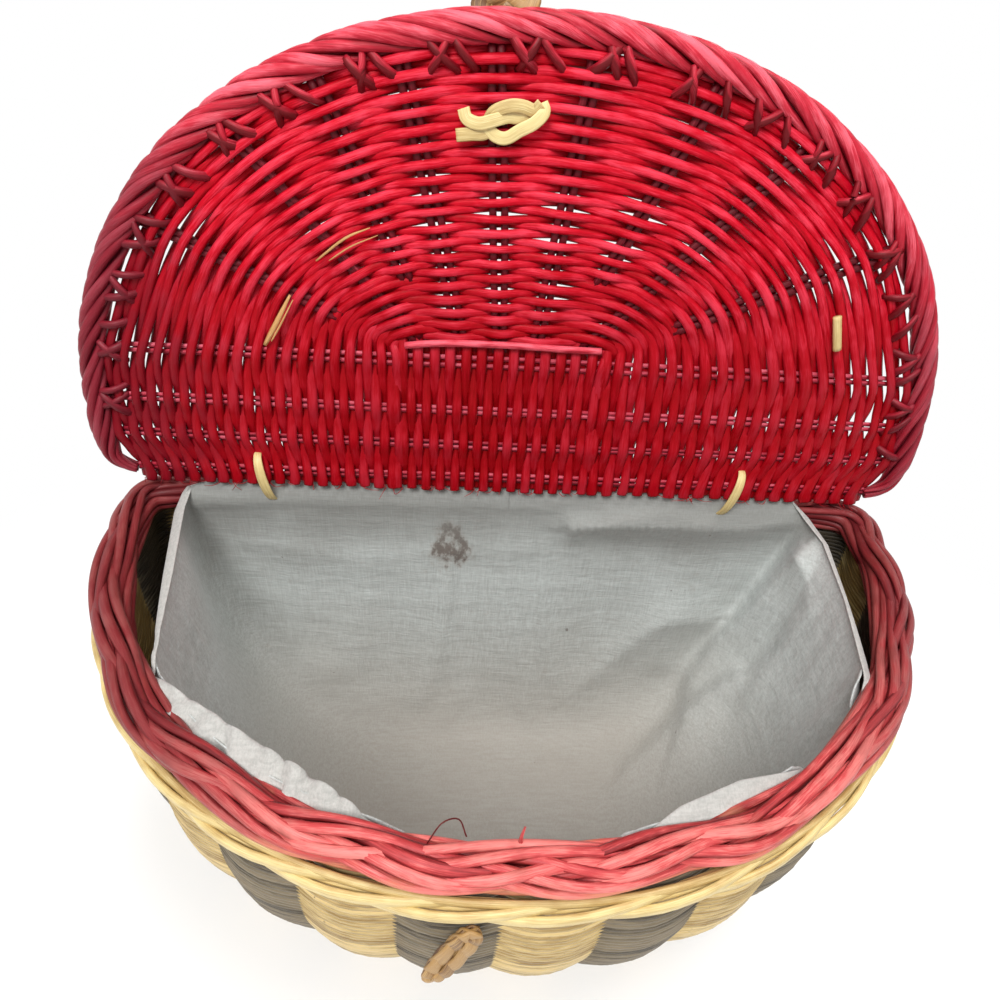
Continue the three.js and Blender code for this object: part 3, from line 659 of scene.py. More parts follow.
def wall_rods(context, first_stake):
    """The strands of one colour: outside every second stake, and inside the next."""
    sizes = context.scene.basket_sizes
    draw = np.random.default_rng(11 + first_stake)
    count = STAKES * PER_STAKE
    turns = even_turns(count, STAKE_PHASE * PER_STAKE)
    step = np.arange(count) / PER_STAKE + first_stake
    weave = np.cos(math.pi * step)
    twist = np.sin(math.pi * step)
    pitch = (WALL_TOP - WALL_FOOT) / sizes.wall_rows
    half_rise = sizes.wall_rod / MM / 2
    rods = []
    for row in range(sizes.wall_rows):
        height = WALL_FOOT + pitch * (row + 0.5)
        inset, flat_inset = wall_insets(height)
        swing = np.where(weave > 0, 3.75, 3.4) * weave + 0.35 * weave * draw.normal(0, 0.35, count)
        lift = 0.75 * twist + draw.normal(0, 0.08, count)
        lift = np.clip(lift, WALL_FOOT + half_rise * 0.6 - height,
                       WALL_TOP - half_rise * 0.6 - height)
        ring = body_point(turns, inset - swing, flat_inset - swing, height + lift)
        section = oval(1.15, half_rise * draw.uniform(0.96, 1.05), 6)
        narrow = 0.42 + 0.58 * np.clip(np.abs(weave) / 0.55, 0, 1) ** 0.8
        # Painted shade: the tone is darker where the strand runs inside a stake.
        rods.append(rod(ring, outward(ring), section,
                        draw.uniform(0, 1) + 1.3 * np.minimum(weave, 0), True, None, narrow))
    return rods


class BASKET_OT_side_weave(Operator):
    """Weave the wall in pairs of strands, one straw and one grey, so that they make stripes"""
    bl_idname = "basket.side_weave"
    bl_label = "Side weave"

    def execute(self, context):
        for first_stake, finish in enumerate(("straw", "grey")):
            add_rods(f"side_weave_{finish}", wall_rods(context, first_stake), "basket", finish,
                     "striped_weave", "side_weave")
        finish_solids("side_stake_", STAKES)
        return {"FINISHED"}


# Rim border, waling and foot border

def around(ring, out, angle, reach):
    """Points at an angle around a ring: 0 is outward and a quarter turn is up."""
    return ring + out * (reach * np.cos(angle))[:, None] + np.array([0, 0, 1.0]) * (
        reach * np.sin(angle))[:, None]


# How often the plait repeats, and the rounds of smoothing that take the kinks out of its rods
# at the back corners
PLAIT_PERIODS = 5
PLAIT_SMOOTHING = 16


def plait(radius, seed, count, middle, spread, reach, rise):
    """Three groups of three rods, plaited to and fro about a middle angle around the rim. Each
    rises and falls about its reach from the middle of the border."""
    middle, spread = math.radians(middle), math.radians(spread)
    draw = np.random.default_rng(seed)
    ring = rim_ring(count)
    out = outward(ring)
    step = np.arange(count) / count
    rods = []
    for group in range(3):
        wobble = wander(draw, 0.16, (3, 5, 8), step)
        phase = TURN * (PLAIT_PERIODS * step + group / 3) + wobble
        layer = np.sin(2 * phase)
        for place in (-1, 0, 1):
            fan = 2.2 * radius / reach * (0.84 + 0.16 * np.cos(phase) ** 2)
            drift = wander(draw, 0.05, (9, 17, 23), step)
            angle = (middle + spread * np.arcsin(0.8 * np.sin(phase)) / 0.93
                     + place * fan + drift)
            distance = reach + rise * layer - 0.5 * abs(place) + draw.normal(0, 0.1)
            points = around(ring, out, angle, distance)
            for _ in range(PLAIT_SMOOTHING):
                points = (np.roll(points, 1, 0) + 2 * points + np.roll(points, -1, 0)) / 4
            side = around(np.zeros_like(ring), out, angle, np.ones(count))
            section = oval(radius * 0.78, radius * draw.uniform(0.9, 1.1), 8)
            thick = 1 + 0.1 * np.sin(TURN * (13 * step + draw.uniform()))
            # Painted light and shade: rods on top of the plait get a lighter tone, those beneath a
            # darker one.
            rods.append(rod(points, side, section, draw.uniform(-0.3, 1) + 0.4 * layer, True,
                            thick))
    return rods


class BASKET_OT_rim_border(Operator):
    """Plait the rose border around the rim, with its core and the rods on its underside"""
    bl_idname = "basket.rim_border"
    bl_label = "Rim border"

    def execute(self, context):
        radius = context.scene.basket_sizes.plait_rod / MM / 2
        rods = plait(radius, 3, count=560, middle=62, spread=46, reach=7.2, rise=2.2)
        rods += plait(radius, 5, count=420, middle=236, spread=44, reach=6.6, rise=1.4)
        ring = rim_ring(200)
        rods.append(rod(ring, outward(ring), oval(5.4, 5.4, 10), 0.0, True))
        add_rods("rim_plait", rods, "basket", "rose", "rose_willow", "rim_border")
        return {"FINISHED"}


class BASKET_OT_waling(Operator):
    """Lay the cream waling of three canes, each in front of two stakes and behind the next"""
    bl_idname = "basket.waling"
    bl_label = "Waling band"

    def execute(self, context):
        draw = np.random.default_rng(8)
        half = context.scene.basket_sizes.wale_cane / MM / 2
        count = STAKES * 3 * PER_STAKE
        turns = np.tile(even_turns(STAKES * PER_STAKE, STAKE_PHASE * PER_STAKE), 3)
        step = np.arange(count) / PER_STAKE
        swing = np.cos(TURN * step / 3)
        inset = -0.2 - 2.9 * swing + draw.normal(0, 0.06, count)
        height = HEIGHT - 21.6 + 2.4 * np.sin(TURN * step / 3)
        points = body_point(turns, inset, inset, height)
        section = oval(1.5, half, 10, 2.8)
        canes = [rod(points, outward(points), section, 0.6, True)]
        turns = even_turns(260)
        for drop, inset, tone_and_shade in ((17.6, 1.0, 0.3), (21.8, 0.6, 0.8), (26.0, 0.9, 0.1)):
            ring = body_point(turns, inset, inset, HEIGHT - drop)
            canes.append(rod(ring, outward(ring), oval(1.6, 2.3, 8), tone_and_shade, True))
        add_rods("waling_canes", canes, "basket", "cream", "pale_cane", "waling_band")
        return {"FINISHED"}


# Where the sticks of the base lie, from front to back
BASE_STICKS = (-30, 0, 30, 57)


def base_rods(draw):
    """Rods of the base, which run from front to back over and under its sticks."""
    low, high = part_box("base_weave")
    left, right = low[0] / MM + 3.5, high[0] / MM - 3.5
    edge = body_point(np.linspace(0, TURN, 2400), 47.5, 27.5, 0)
    pitch = 3.35
    rods = []
    for i in range(int((right - left) / pitch) + 1):
        across = left + pitch * i
        near = np.abs(edge[:, 0] - across) < 1.2
        front, back = edge[near, 1].min(), edge[near, 1].max()
        sign = 1 if i % 2 else -1
        stops = [(y, sign * (-1) ** k * 1.9) for k, y in enumerate(BASE_STICKS)
                 if front + 3 < y < back - 3]
        stops = [(front, 0.0), *stops, (back, 0.0)]
        line = through([(across, y, 3.5 + z) for y, z in stops], 7)
        rods.append(rod(line, (1, 0, 0), oval(1.7, 1.4, 7), draw.uniform(0, 1)))
    return rods


class BASKET_OT_foot(Operator):
    """Close the wall below with a foot border and weave the base around its sticks"""
    bl_idname = "basket.foot"
    bl_label = "Foot border and base"

    def execute(self, context):
        draw = np.random.default_rng(21)
        count = 600
        ring = body_point(even_turns(count), WALL_INSET[0], WALL_FLAT_INSET[0], FOOT_RADIUS)
        out = outward(ring)
        step = np.arange(count) / count
        rods = [rod(ring, out, oval(1.6, 1.6, 6), 0.1, True)]
        for strand in range(4):
            angle = TURN * (17 * step + strand / 4)
            points = around(ring, out, angle, np.full(count, 2.4))
            rods.append(rod(points, out, oval(1.75, 1.75, 7), draw.uniform(0, 1), True))
        add_rods("foot_plait", rods, "basket", "straw", "striped_weave", "foot_border")
        add_rods("base_rods", base_rods(draw), "basket", "straw", "striped_weave", "base_weave")
        finish_solids("base_stick_", len(BASE_STICKS))
        return {"FINISHED"}


# Lid

def lid_stations(share):
    """Where one nested row runs, from the right end of the lid to the left, and how many sticks
    it has passed there. It runs on by half a step where a rib starts further out."""
    def cross(side, inner, order):
        return [(inner + share * (side * lid_reach(off, ROW_EDGE) - inner), off)
                for off in order]
    stops = [(*stop, i) for i, stop in enumerate(cross(1, INNER_RIGHT, CROSS_STICKS))]
    passed = len(stops) - 1
    for angle, root, start in zip(RIB_ANGLES, RIB_ROOTS, RIB_STARTS):
        here = share + 0.05 >= start
        x, y = lid_edge(math.radians(angle), ROW_EDGE)
        stops.append((root[0] + share * (float(x) - root[0]),
                      root[1] + share * (float(y) - root[1]), passed + (1 if here else 0.5)))
        passed += here
    left = cross(-1, INNER_LEFT, reversed(CROSS_STICKS))
    return stops + [(*stop, passed + 1 + i) for i, stop in enumerate(left)]


def over_under(steps):
    """Swing of a rod that passes a stick at each whole step: it lies flat between them."""
    swing = np.cos(math.pi * steps)
    return swing * np.abs(swing) ** 1.1


def woven_rod(stops, first_side, radius, draw, ends):
    """A rod that passes the sticks in turn inside and outside the lid. It swings less and is
    wider low on the lid."""
    stops = [(stops[0][0], ends, -1)] + list(stops) + [(stops[-1][0], ends, stops[-1][2] + 1)]
    flat = through([stop[:2] for stop in stops], ROW_STEPS)
    steps = np.interp(np.arange(len(flat)) / ROW_STEPS, np.arange(len(stops)),
                      [stop[2] for stop in stops])
    outer = np.clip((np.abs(flat[:, 0]) - 150) / 35, 0, 1) * np.clip((flat[:, 1] - 35) / 20, 0, 1)
    low = np.clip((130 - flat[:, 1]) / 60, 0, 1) * (1 - 0.8 * outer)
    right = np.clip((flat[:, 0] - 30) / 90, 0, 1) * low
    wave = first_side * over_under(np.clip(steps, 0, stops[-1][2] - 1))
    out = (ROW_SWING - 0.7 * low - 0.3 * right) * wave
    shake = wander(draw, 0.2, (2, 5, 7), steps / 17)
    flat = flat + right_of(unit(np.gradient(flat, axis=0))) * shake[:, None]
    points = lid_point(*flat.T, out)
    thick = 1 - 0.06 * np.cos(TURN * steps) + 0.05 * np.sin(steps * 1.3 + draw.uniform(0, 6))
    edge = np.clip((14 - flat[:, 1]) / 8, 0, 1)
    wide = 1.16 + 0.34 * low + 0.3 * right + 0.1 * edge + 0.1 * low * np.abs(wave)
    # Painted light and shade: the tone is lighter where the rod passes over a stick on the lid's
    # inside face and darker where it passes under.
    return rod(points, LID_FACE, oval(0.86 * radius, radius, 7),
               draw.uniform(0, 0.8) + 0.4 * wave, False, thick * (1 - 0.18 * low), thick * wide)


def short_rod(across, side, radius, draw):
    """An upright rod below the lid's bar. Its upper end dives behind the innermost row."""
    stops = [(across, 88.5)] + [(across, off) for off in reversed(CROSS_STICKS)]
    flat = through(stops + [(across, draw.uniform(0.2, 1.1))], 7)
    steps = np.arange(len(flat)) / 7
    wave = side * over_under(np.clip(steps - 1, 0, 3))
    shown = np.clip(steps / 0.8, 0, 1)
    out = 2.1 * wave * shown - 1.6 * (1 - shown)
    # Painted light and shade: the tone is lighter where the rod passes over a stick on the lid's
    # inside face and darker where it passes under.
    return rod(lid_point(*flat.T, out), LID_FACE, oval(radius * 0.7, radius * 1.5, 7),
               draw.uniform(0, 0.8) + 0.4 * wave)


def loose_fibre(draw):
    """A thin fibre that stands off the lid's lower edge."""
    start = (draw.uniform(-200, 195), draw.uniform(0.5, 3), draw.uniform(1.5, 3))
    drift = draw.normal(0, 2.2, 3)
    stops = [start, (start[0] + drift[0], start[1] - 1.5 + drift[1] * 0.4, start[2] + 2),
             (start[0] + drift[0] * 2.2, start[1] - 2.5 + drift[1], start[2] + drift[2])]
    hair = lid_point(*through(stops, 4).T)
    return rod(hair, (1, 0, 0), oval(0.22, 0.22, 5), 0.9, False, np.linspace(1, 0.4, len(hair)))


class BASKET_OT_lid_weave(Operator):
    """Weave the lid: nested rods around its bar and short upright rods below it"""
    bl_idname = "basket.lid_weave"
    bl_label = "Lid weave"

    def execute(self, context):
        sizes = context.scene.basket_sizes
        draw = np.random.default_rng(5)
        radius = sizes.lid_rod / MM / 2
        rods = []
        for row in range(sizes.lid_rows):
            stops = lid_stations(0.995 - 1.035 * (1 - row / (sizes.lid_rows - 1)))
            size = radius * draw.uniform(0.93, 1.07)
            side = 1 if row % 2 else -1
            rods.append(woven_rod(stops, side, size, draw, draw.uniform(0.2, 1.1)))
        pitch = (INNER_RIGHT - INNER_LEFT) / (sizes.short_rods + 1)
        for i in range(sizes.short_rods):
            across = INNER_LEFT + pitch * (i + 1) + draw.normal(0, 0.2)
            rods.append(short_rod(across, 1 if i % 2 else -1, radius, draw))
        rods += [loose_fibre(draw) for _ in range(LOOSE_FIBRES)]
        add_rods("lid_rods", rods, "lid", "red", "red_willow", "lid_weave")
        return {"FINISHED"}


# Each splinter of the lid: its line in the lid's places, its half width and half thickness,
# and its finish
LID_SPLINTERS = (
    (((-108.7, 104.7, 5.0), (-116, 91.7, 6.2), (-122.9, 80.1, 5.2)), 1.3, 0.5, "splinter"),
    (((-107.5, 102.7, 5.4), (-114, 91.2, 7.0), (-119, 83.1, 7.4)), 0.5, 0.4, "splinter"),
    (((-71.3, 136, 4.8), (-82.3, 131.2, 6), (-95.7, 120.6, 4.8)), 0.6, 0.4, "splinter"),
    (((-68, 133, 4.6), (-80, 127.8, 5.6), (-90, 121, 4.6)), 0.35, 0.3, "splinter"),
    (((148.2, 107.6, 4.4), (150.8, 99, 4.8), (153.6, 91, 4.4)), 2.1, 1.6, "cream"),
)


class BASKET_OT_splinters(Operator):
    """Leave the splinters and the cut rod end that stand off the lid and the rim"""
    bl_idname = "basket.splinters"
    bl_label = "Splinters"

    def execute(self, context):
        for finish in ("splinter", "cream"):
            rods = []
            for stops, half_side, half_rise, kind in LID_SPLINTERS:
                if kind == finish:
                    line = through(stops, 5)
                    taper = None
                    if kind == "splinter":
                        taper = 0.35 + 0.65 * np.sin(np.linspace(0.1, 2.6, len(line)))
                    rods.append(rod(lid_point(*line.T), (1, 0, 0), oval(half_side, half_rise, 7),
                                    0.5, False, taper))
            add_rods(f"lid_{finish}_end", rods, "lid", finish, "pale_cane")
        line = through([(-2.4, -110, 190), (-2.7, -108.8, 194.8), (-1.1, -105.2, 196.4)], 5)
        rods = [rod(line, (1, 0, 0), oval(1.1, 0.8, 7), 0.9, False,
                    np.linspace(1, 0.35, len(line)))]
        line = through([(-36, -109, 191), (-31, -103.6, 195), (-25, -102.3, 195.5),
                        (-22, -107, 192)], 5)
        rods.append(rod(line, (0, 1, 0), oval(0.3, 0.3, 5), -0.6))
        add_rods("rim_splinters", rods, "basket", "rose", "rose_willow")
        return {"FINISHED"}


class BASKET_OT_lid_sticks(Operator):
    """Lay the pairs of thin rods that the lid is woven over, and its bar"""
    bl_idname = "basket.lid_sticks"
    bl_label = "Lid sticks"

    def execute(self, context):
        draw = np.random.default_rng(9)
        rods = []
        for off in CROSS_STICKS:
            reach = lid_reach(off, 10.5) - 1
            for member in (-1, 1):
                bow = draw.normal(0, 0.5)
                stops = [(x * reach, off + member * 1.35 + bow * (1 - x * x)
                          + draw.normal(0, 0.25), 0) for x in np.linspace(-1, 1, 7)]
                rods.append(rod(lid_point(*through(stops, 5).T), (0, 0, 1), oval(1.3, 0.9, 7),
                                draw.uniform(0, 1)))
        nodes = [f"lid_cross_stick_{i + 1}" for i in range(len(CROSS_STICKS))]
        add_rods("lid_cross_rods", rods, "lid", "stick", "red_willow", *nodes)
        rods = []
        for angle, root, start in zip(RIB_ANGLES, RIB_ROOTS, RIB_STARTS):
            root = np.array(root, float)
            end = np.array(lid_edge(math.radians(angle), 11))
            along = unit(end - root)
            across = right_of(along)
            first = root + (end - root) * start - along * (4 if start else 7)
            for member in (-1, 1):
                bow = draw.normal(0, 0.5)
                stops = [first + (end - first) * t
                         + across * (member * 1.75 + bow * t * (1 - t) * 4)
                         - along * (draw.uniform(0, 5) if t == 0 else 0)
                         for t in np.linspace(0, 1, 5)]
                rods.append(rod(lid_point(*through(stops, 5).T, 0), (0, 1, 0), oval(1.5, 1.8, 8),
                                draw.uniform(-0.7, 0.2)))
        nodes = [f"lid_rib_{k + 1}" for k in range(len(RIB_ANGLES))]
        add_rods("lid_rib_rods", rods, "lid", "stick", "red_willow", *nodes)
        stops = [(-57, 82.5, 3.4), (-40, 84.6, 3.8), (-9, 85.2, 4.0), (20, 84.4, 3.8),
                 (38, 84, 3.2)]
        bar = rod(lid_point(*through(stops, 8).T), (0, 0, 1), oval(1.7, 1.7, 9), 1.0)
        add_rods("lid_bar_rod", [bar], "lid", "edge", "red_willow", "lid_bar")
        return {"FINISHED"}


class BASKET_OT_lid_border(Operator):
    """Twist the rose rods around the lid's edge, with the stick ends tucked across them"""
    bl_idname = "basket.lid_border"
    bl_label = "Lid border"

    def execute(self, context):
        draw = np.random.default_rng(14)
        count = 620
        edge = np.stack(lid_edge(np.radians(np.linspace(-30, 210, 3000)), 6.3), 1)
        lengths = lengths_along(edge)
        at = np.linspace(0, lengths[-1], count)
        line = np.stack([np.interp(at, lengths, column) for column in edge.T], 1)
        out = right_of(unit(np.gradient(line, axis=0)))
        step = np.arange(count) / (count - 1)
        ends = np.clip(0.45 + np.minimum(step, 1 - step) * 14, 0, 1)
        rods = []

        def place(angle, reach):
            flat = line + out * (reach * np.cos(angle))[:, None]
            return lid_point(*flat.T, reach * np.sin(angle))

        middle = place(np.zeros(count), np.zeros(count))
        rods.append(rod(middle, (0, 0, 1), oval(3.2, 3.2, 7), 0.0, False, ends))
        for strand in range(7):
            sway = wander(draw, 0.09, (2, 5, 11), step)
            turned = -TURN * (7.3 * step + strand / 7) + sway
            points = place(turned, (4.3 + draw.normal(0, 0.12)) * ends)
            thick = ends * (1 + 0.2 * np.cos(turned - 0.6))
            size = draw.uniform(1.9, 2.2)
            # Painted light and shade: each strand is lighter where it comes round the outer edge of
            # the rope and darker where it turns in behind.
            rods.append(rod(points, points - middle, oval(size, size, 8),
                            draw.uniform(-0.3, 0.9) + 0.3 * np.cos(turned - 0.6), False, thick))
        for number, turn in enumerate(np.linspace(math.radians(3), math.radians(176), 58)):
            turn = turn + draw.normal(0, 0.012)
            lean = draw.uniform(0.03, 0.06) * (1 if number % 3 else -1)
            stops = []
            for t, inset, rise in ((0, 21, -0.5), (0.35, 17.5, 3.4), (0.7, 13.5, 4.4), (1, 9, 3.2)):
                u, v = lid_edge(turn + lean * t, inset)
                stops.append((float(u), float(v), rise))
            size = draw.uniform(1.7, 2.2)
            rods.append(rod(lid_point(*through(stops, 4).T), (0, 0, 1), oval(size, size * 0.8, 7),
                            draw.uniform(-0.6, 0.3)))
        add_rods("lid_edge_rope", rods, "lid", "edge", "rose_willow", "lid_border")
        return {"FINISHED"}


# Cane hinges, knot and braids

def node_box(node):
    """Low and high corner of a solid, in millimetres."""
    return (np.array(corner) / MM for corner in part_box(node))


class BASKET_OT_hinges(Operator):
    """Bend the two cane loops that hang the lid on the rim"""
    bl_idname = "basket.hinges"
    bl_label = "Cane hinges"

    def execute(self, context):
        half = context.scene.basket_sizes.hinge_cane / MM / 2
        for node in ("hinge_loop_left", "hinge_loop_right"):
            low, high = node_box(node)
            centre, reach = (low + high) / 2, (high - low) / 2 - 0.6
            angles = TURN * np.arange(48) / 48
            points = np.stack([np.full(48, centre[0]), centre[1] + reach[1] * np.cos(angles),
                               centre[2] + reach[2] * np.sin(angles)], 1)
            points[:, 0] += (-2.6 if "left" in node else 3.2) * np.sin(angles)
            taper = 0.72 - 0.28 * np.cos(angles)
            cane = rod(points, (1, 0, 0), oval(half, 0.8, 10, 3.0), 0.7, True, taper)
            piece = add_rods(node.replace("loop", "cane"), [cane], None, "cream", "pale_cane",
                             node)
            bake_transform(piece)
        return {"FINISHED"}


# Stops of the knot's canes around its middle: across the lid, off the hinge edge and out
KNOT_CANES = (
    ((-23, -9.8, 0), (-15, -8.6, 0.4), (-7, -7.4, 0.2), (-6.0, -2, -0.6), (-3, 3.2, 0.6),
     (5, 6.6, 1.4), (12, 6.6, 1.0), (18, 5.0, 0.6), (21.5, 8.4, 1.2)),
    ((-19.5, 3.8, -0.4), (-17.5, -1.0, 0.6), (-11, -3.0, 1.6), (-3.5, -1.0, 1.4), (4, 1.2, 0.4),
     (10, 1.0, -0.4), (15.5, 3.0, -0.2)),
    ((-7.5, -4.0, 0.4), (-2, -8.8, 0.2), (4, -9.6, 0.4), (11, -5.2, 1.0), (18, -1.2, 1.5),
     (23, 4.4, 1.4), (21.5, 9.0, 0.4)),
)


class BASKET_OT_knot(Operator):
    """Tie the knot of flat cane that holds the hasp on the inside of the lid"""
    bl_idname = "basket.knot"
    bl_label = "Cane knot"

    def execute(self, context):
        low, high = node_box("lid_knot")
        across = (low[0] + high[0]) / 2
        off = ((low[2] + high[2]) / 2 - HINGE_HEIGHT) / math.sin(LID_OPEN) + LID_AXIS_OFFSET
        canes = []
        for number, stops in enumerate(KNOT_CANES):
            curve = through(np.array(stops) * (0.76, 0.72, 1), 6)
            points = lid_point(across + curve[:, 0] - 0.4, off + curve[:, 1] + 3,
                               6.1 + curve[:, 2])
            flat_side = right_of(unit(np.gradient(curve, axis=0)))
            side = lid_point(*flat_side.T, 0) - lid_point(0, 0, 0)
            canes.append(rod(points, side, oval(2.6, 0.45, 10, 3.0), 0.3 + 0.3 * number))
        add_rods("knot_cane", canes, "lid", "cream", "pale_cane", "lid_knot")
        return {"FINISHED"}


def braid(line, side, face, half_width, half_thickness, periods, closed, seed, share=0.5,
          turns=2):
    """A flat braid of straw strips along a line."""
    draw = np.random.default_rng(seed)
    count = len(line)
    step = np.arange(count) / (count if closed else count - 1)
    strip = half_width * share
    rods = []
    for strand in range(3):
        phase = TURN * (periods * step + strand / 3)
        lateral = (half_width - strip) * np.sin(phase)
        layer = half_thickness * 0.55 * np.sin(turns * phase)
        points = line + side * lateral[:, None] + face * layer[:, None]
        lean = side + face * (0.35 * np.cos(phase) * half_thickness / half_width)[:, None]
        section = oval(strip * 1.05, half_thickness * 0.42, 10, 3.2)
        # Painted light and shade: a strip's tone is lighter where it lies on top of the braid and
        # darker beneath.
        rods.append(rod(points, lean, section, draw.uniform(0, 1) + 0.3 * layer, closed))
    return rods


class BASKET_OT_hasp(Operator):
    """Braid the hasp: its strap on the lid's outside, and the long loop beyond the edge"""
    bl_idname = "basket.hasp"
    bl_label = "Braided hasp"

    def execute(self, context):
        line = lid_point(CLOSURE, np.linspace(168.6, 221.9, 90), -7.6)
        strap = braid(line, LID_ACROSS, LID_FACE, 13.6, 1.9, 2.6, False, 31)
        add_rods("hasp_strap_braid", strap, "lid", "tan", "tan_braid", "hasp_strap")
        half, low, high = 10.25, 222.2 + 3.75, 284 - 3.75
        run = np.linspace(low + half, high - half, 34)
        bend = [(half * math.cos(a), half * math.sin(a))
                for a in np.linspace(0, math.pi, 22)[1:-1]]
        flat = np.array([(half, v) for v in run] + [(x, high - half + y) for x, y in bend]
                        + [(-half, v) for v in run[::-1]]
                        + [(-x, low + half - y) for x, y in bend])
        line = lid_point(CLOSURE + flat[:, 0], flat[:, 1], -7.6)
        side = np.cross(unit(ring_steps(line)), LID_FACE)
        loop = braid(line, side, LID_FACE, 3.6, 1.7, 9, True, 32, 0.6)
        add_rods("hasp_loop_braid", loop, "hasp", "tan", "tan_braid", "hasp_loop")
        return {"FINISHED"}


class BASKET_OT_front_loop(Operator):
    """Braid the short loop on the front of the basket"""
    bl_idname = "basket.front_loop"
    bl_label = "Front loop"

    def execute(self, context):
        low, high = node_box("front_loop")
        centre = (low + high) / 2
        half = (high[0] - low[0]) / 2 - 2.2
        reach = (high[2] - low[2]) / 2 - 1.75
        angles = TURN * np.arange(140) / 140
        x, z = half * rounded(np.cos(angles), 0.8), reach * rounded(np.sin(angles), 0.8)
        fall = reach - z
        line = np.stack([centre[0] + x - 2 - 0.5 * fall, centre[1] - 0.2 * fall, centre[2] + z], 1)
        face = np.array([0, -1.0, 0])
        side = np.cross(unit(ring_steps(line)), face)
        loop = braid(line, side, face, 3.2, 2.2, 4, True, 41, 0.84, 1)
        add_rods("front_loop_braid", loop, "front_loop", "tan", "tan_braid", "front_loop")
        return {"FINISHED"}


# Lining: a cotton bag that hangs from its hem. Each stop of the hem has its place in
# millimetres and the half width of the turned band there.

HEM = ((-175.5, 82, 191, 3.0), (-176.3, 67.3, 188, 3.4), (-167.5, 20.2, 188, 3.0),
       (-161, -17, 187, 1.6), (-158, -35, 183, 0.8), (-147.5, -49, 187.5, 4.5),
       (-117.5, -71.5, 188, 6.6), (-75.5, -94.5, 188, 5.4), (-50, -106, 184, 1.6),
       (-36, -112, 180, 0.9), (0, -115, 179, 0.9), (27.5, -114, 180, 0.9), (40, -108, 184, 1.4),
       (62, -99, 187, 4.8), (88, -88, 187, 4.6), (114, -77, 184, 1.2), (128, -71, 178, 0.9),
       (152, -51, 178, 0.9), (161.5, -33, 186, 2.8), (168.2, 15.8, 188, 1.3),
       (172.7, 56.1, 188, 2.2), (167.4, 76.3, 190, 3.6), (160, 86, 195, 0.9), (80, 87, 195.3, 0.9),
       (0, 87, 195.3, 0.9), (-80, 87, 195.3, 0.9), (-160, 86, 195, 0.9))
BAG_FLOOR = 12
BAG_POWER = 2.7
BAG_BACK = 79.3
# Each fold: its height, its width to the left and to the right, and the line that it follows
FOLDS = (
    (21, 4.5, 28, ((168, 66, 176), (166, 76, 140), (161, 81, 100), (148, 79, 70), (136, 70, 46),
                   (128, 52, 34))),
    (13, 4, 22, ((156, 54, 69), (138, 53, 44), (113, 38, 24), (89, 20, 15))),
    (8, 12, 6, ((140, 83, 91), (108, 82, 83), (85, 77, 60), (55, 64, 33))),
    (9, 5, 9, ((40, 86, 166), (80, 86, 168), (130, 86, 168), (166, 78, 182))),
    (11, 20, 6, ((-172, 45, 184), (-171, 45, 132), (-165, 40, 94), (-150, 12, 60))),
    (3, 8, 8, ((-150, 84, 150), (-90, 84, 138), (-30, 85, 145), (20, 85, 150))),
)
# Folds are raised towards this point, which sees all of them from above and before the basket
FOLD_SIGHT = (-29, -224, 450)
# Middle of the stain and thickness of the cloth, in metres
STAIN = (-0.033, 0.079, 0.156)
CLOTH_THICKNESS = 0.0007
FALL_FRAMES = 26
BAG_SMOOTHING = 14


def hem_at(turn):
    """Stops of the hem at turns around the middle of the basket."""
    corners = np.array(HEM + HEM[:1], float)
    share = np.linspace(0, 1, 16, endpoint=False)[:, None]
    line = np.concatenate([a + (b - a) * share for a, b in zip(corners, corners[1:])])
    angle = np.arctan2(line[:, 1], line[:, 0])
    reach = np.hypot(line[:, 0], line[:, 1])
    reach, rise, band = (np.interp(turn, angle, v, period=TURN)
                         for v in (reach, line[:, 2], line[:, 3]))
    return np.stack([reach * np.cos(turn), reach * np.sin(turn), rise], -1), band


def clear_of_rim(points, room):
    """Moves points that lie too near the core of the rim border straight out of it."""
    away = points[:, None] - rim_ring(500)[None]
    nearest = np.linalg.norm(away, axis=2).argmin(1)
    away = away[np.arange(len(points)), nearest]
    gap = np.linalg.norm(away, axis=1, keepdims=True)
    return points + away / gap * np.maximum(room - gap, 0), gap[:, 0]


def bag_points(flat):
    """Takes points of a square to the bag: its middle is the floor and its edge the hem."""
    x, y = flat[:, 0], flat[:, 1]
    x, y = x * np.sqrt(1 - y ** 2 / 2), y * np.sqrt(1 - x ** 2 / 2)
    turn, share = np.arctan2(y, x), np.clip(np.hypot(x, y), 0, 1)
    bend = np.linspace(0, math.pi / 2, 400)
    table = np.stack([np.sin(bend) ** (2 / BAG_POWER), np.cos(bend) ** (2 / BAG_POWER)], 1)
    lengths = lengths_along(table * (150, HEIGHT - BAG_FLOOR))
    reach, depth = (np.interp(share * lengths[-1], lengths, column) for column in table.T)
    hem = hem_at(turn)[0]
    points = np.stack([hem[:, 0] * reach, hem[:, 1] * reach,
                       hem[:, 2] - (hem[:, 2] - BAG_FLOOR) * depth], 1)
    points[:, 1] = np.where(points[:, 2] < RIM_CENTRE, np.minimum(points[:, 1], BAG_BACK),
                            points[:, 1])
    return clear_of_rim(points, RIM_RADIUS + 1.5)[0]


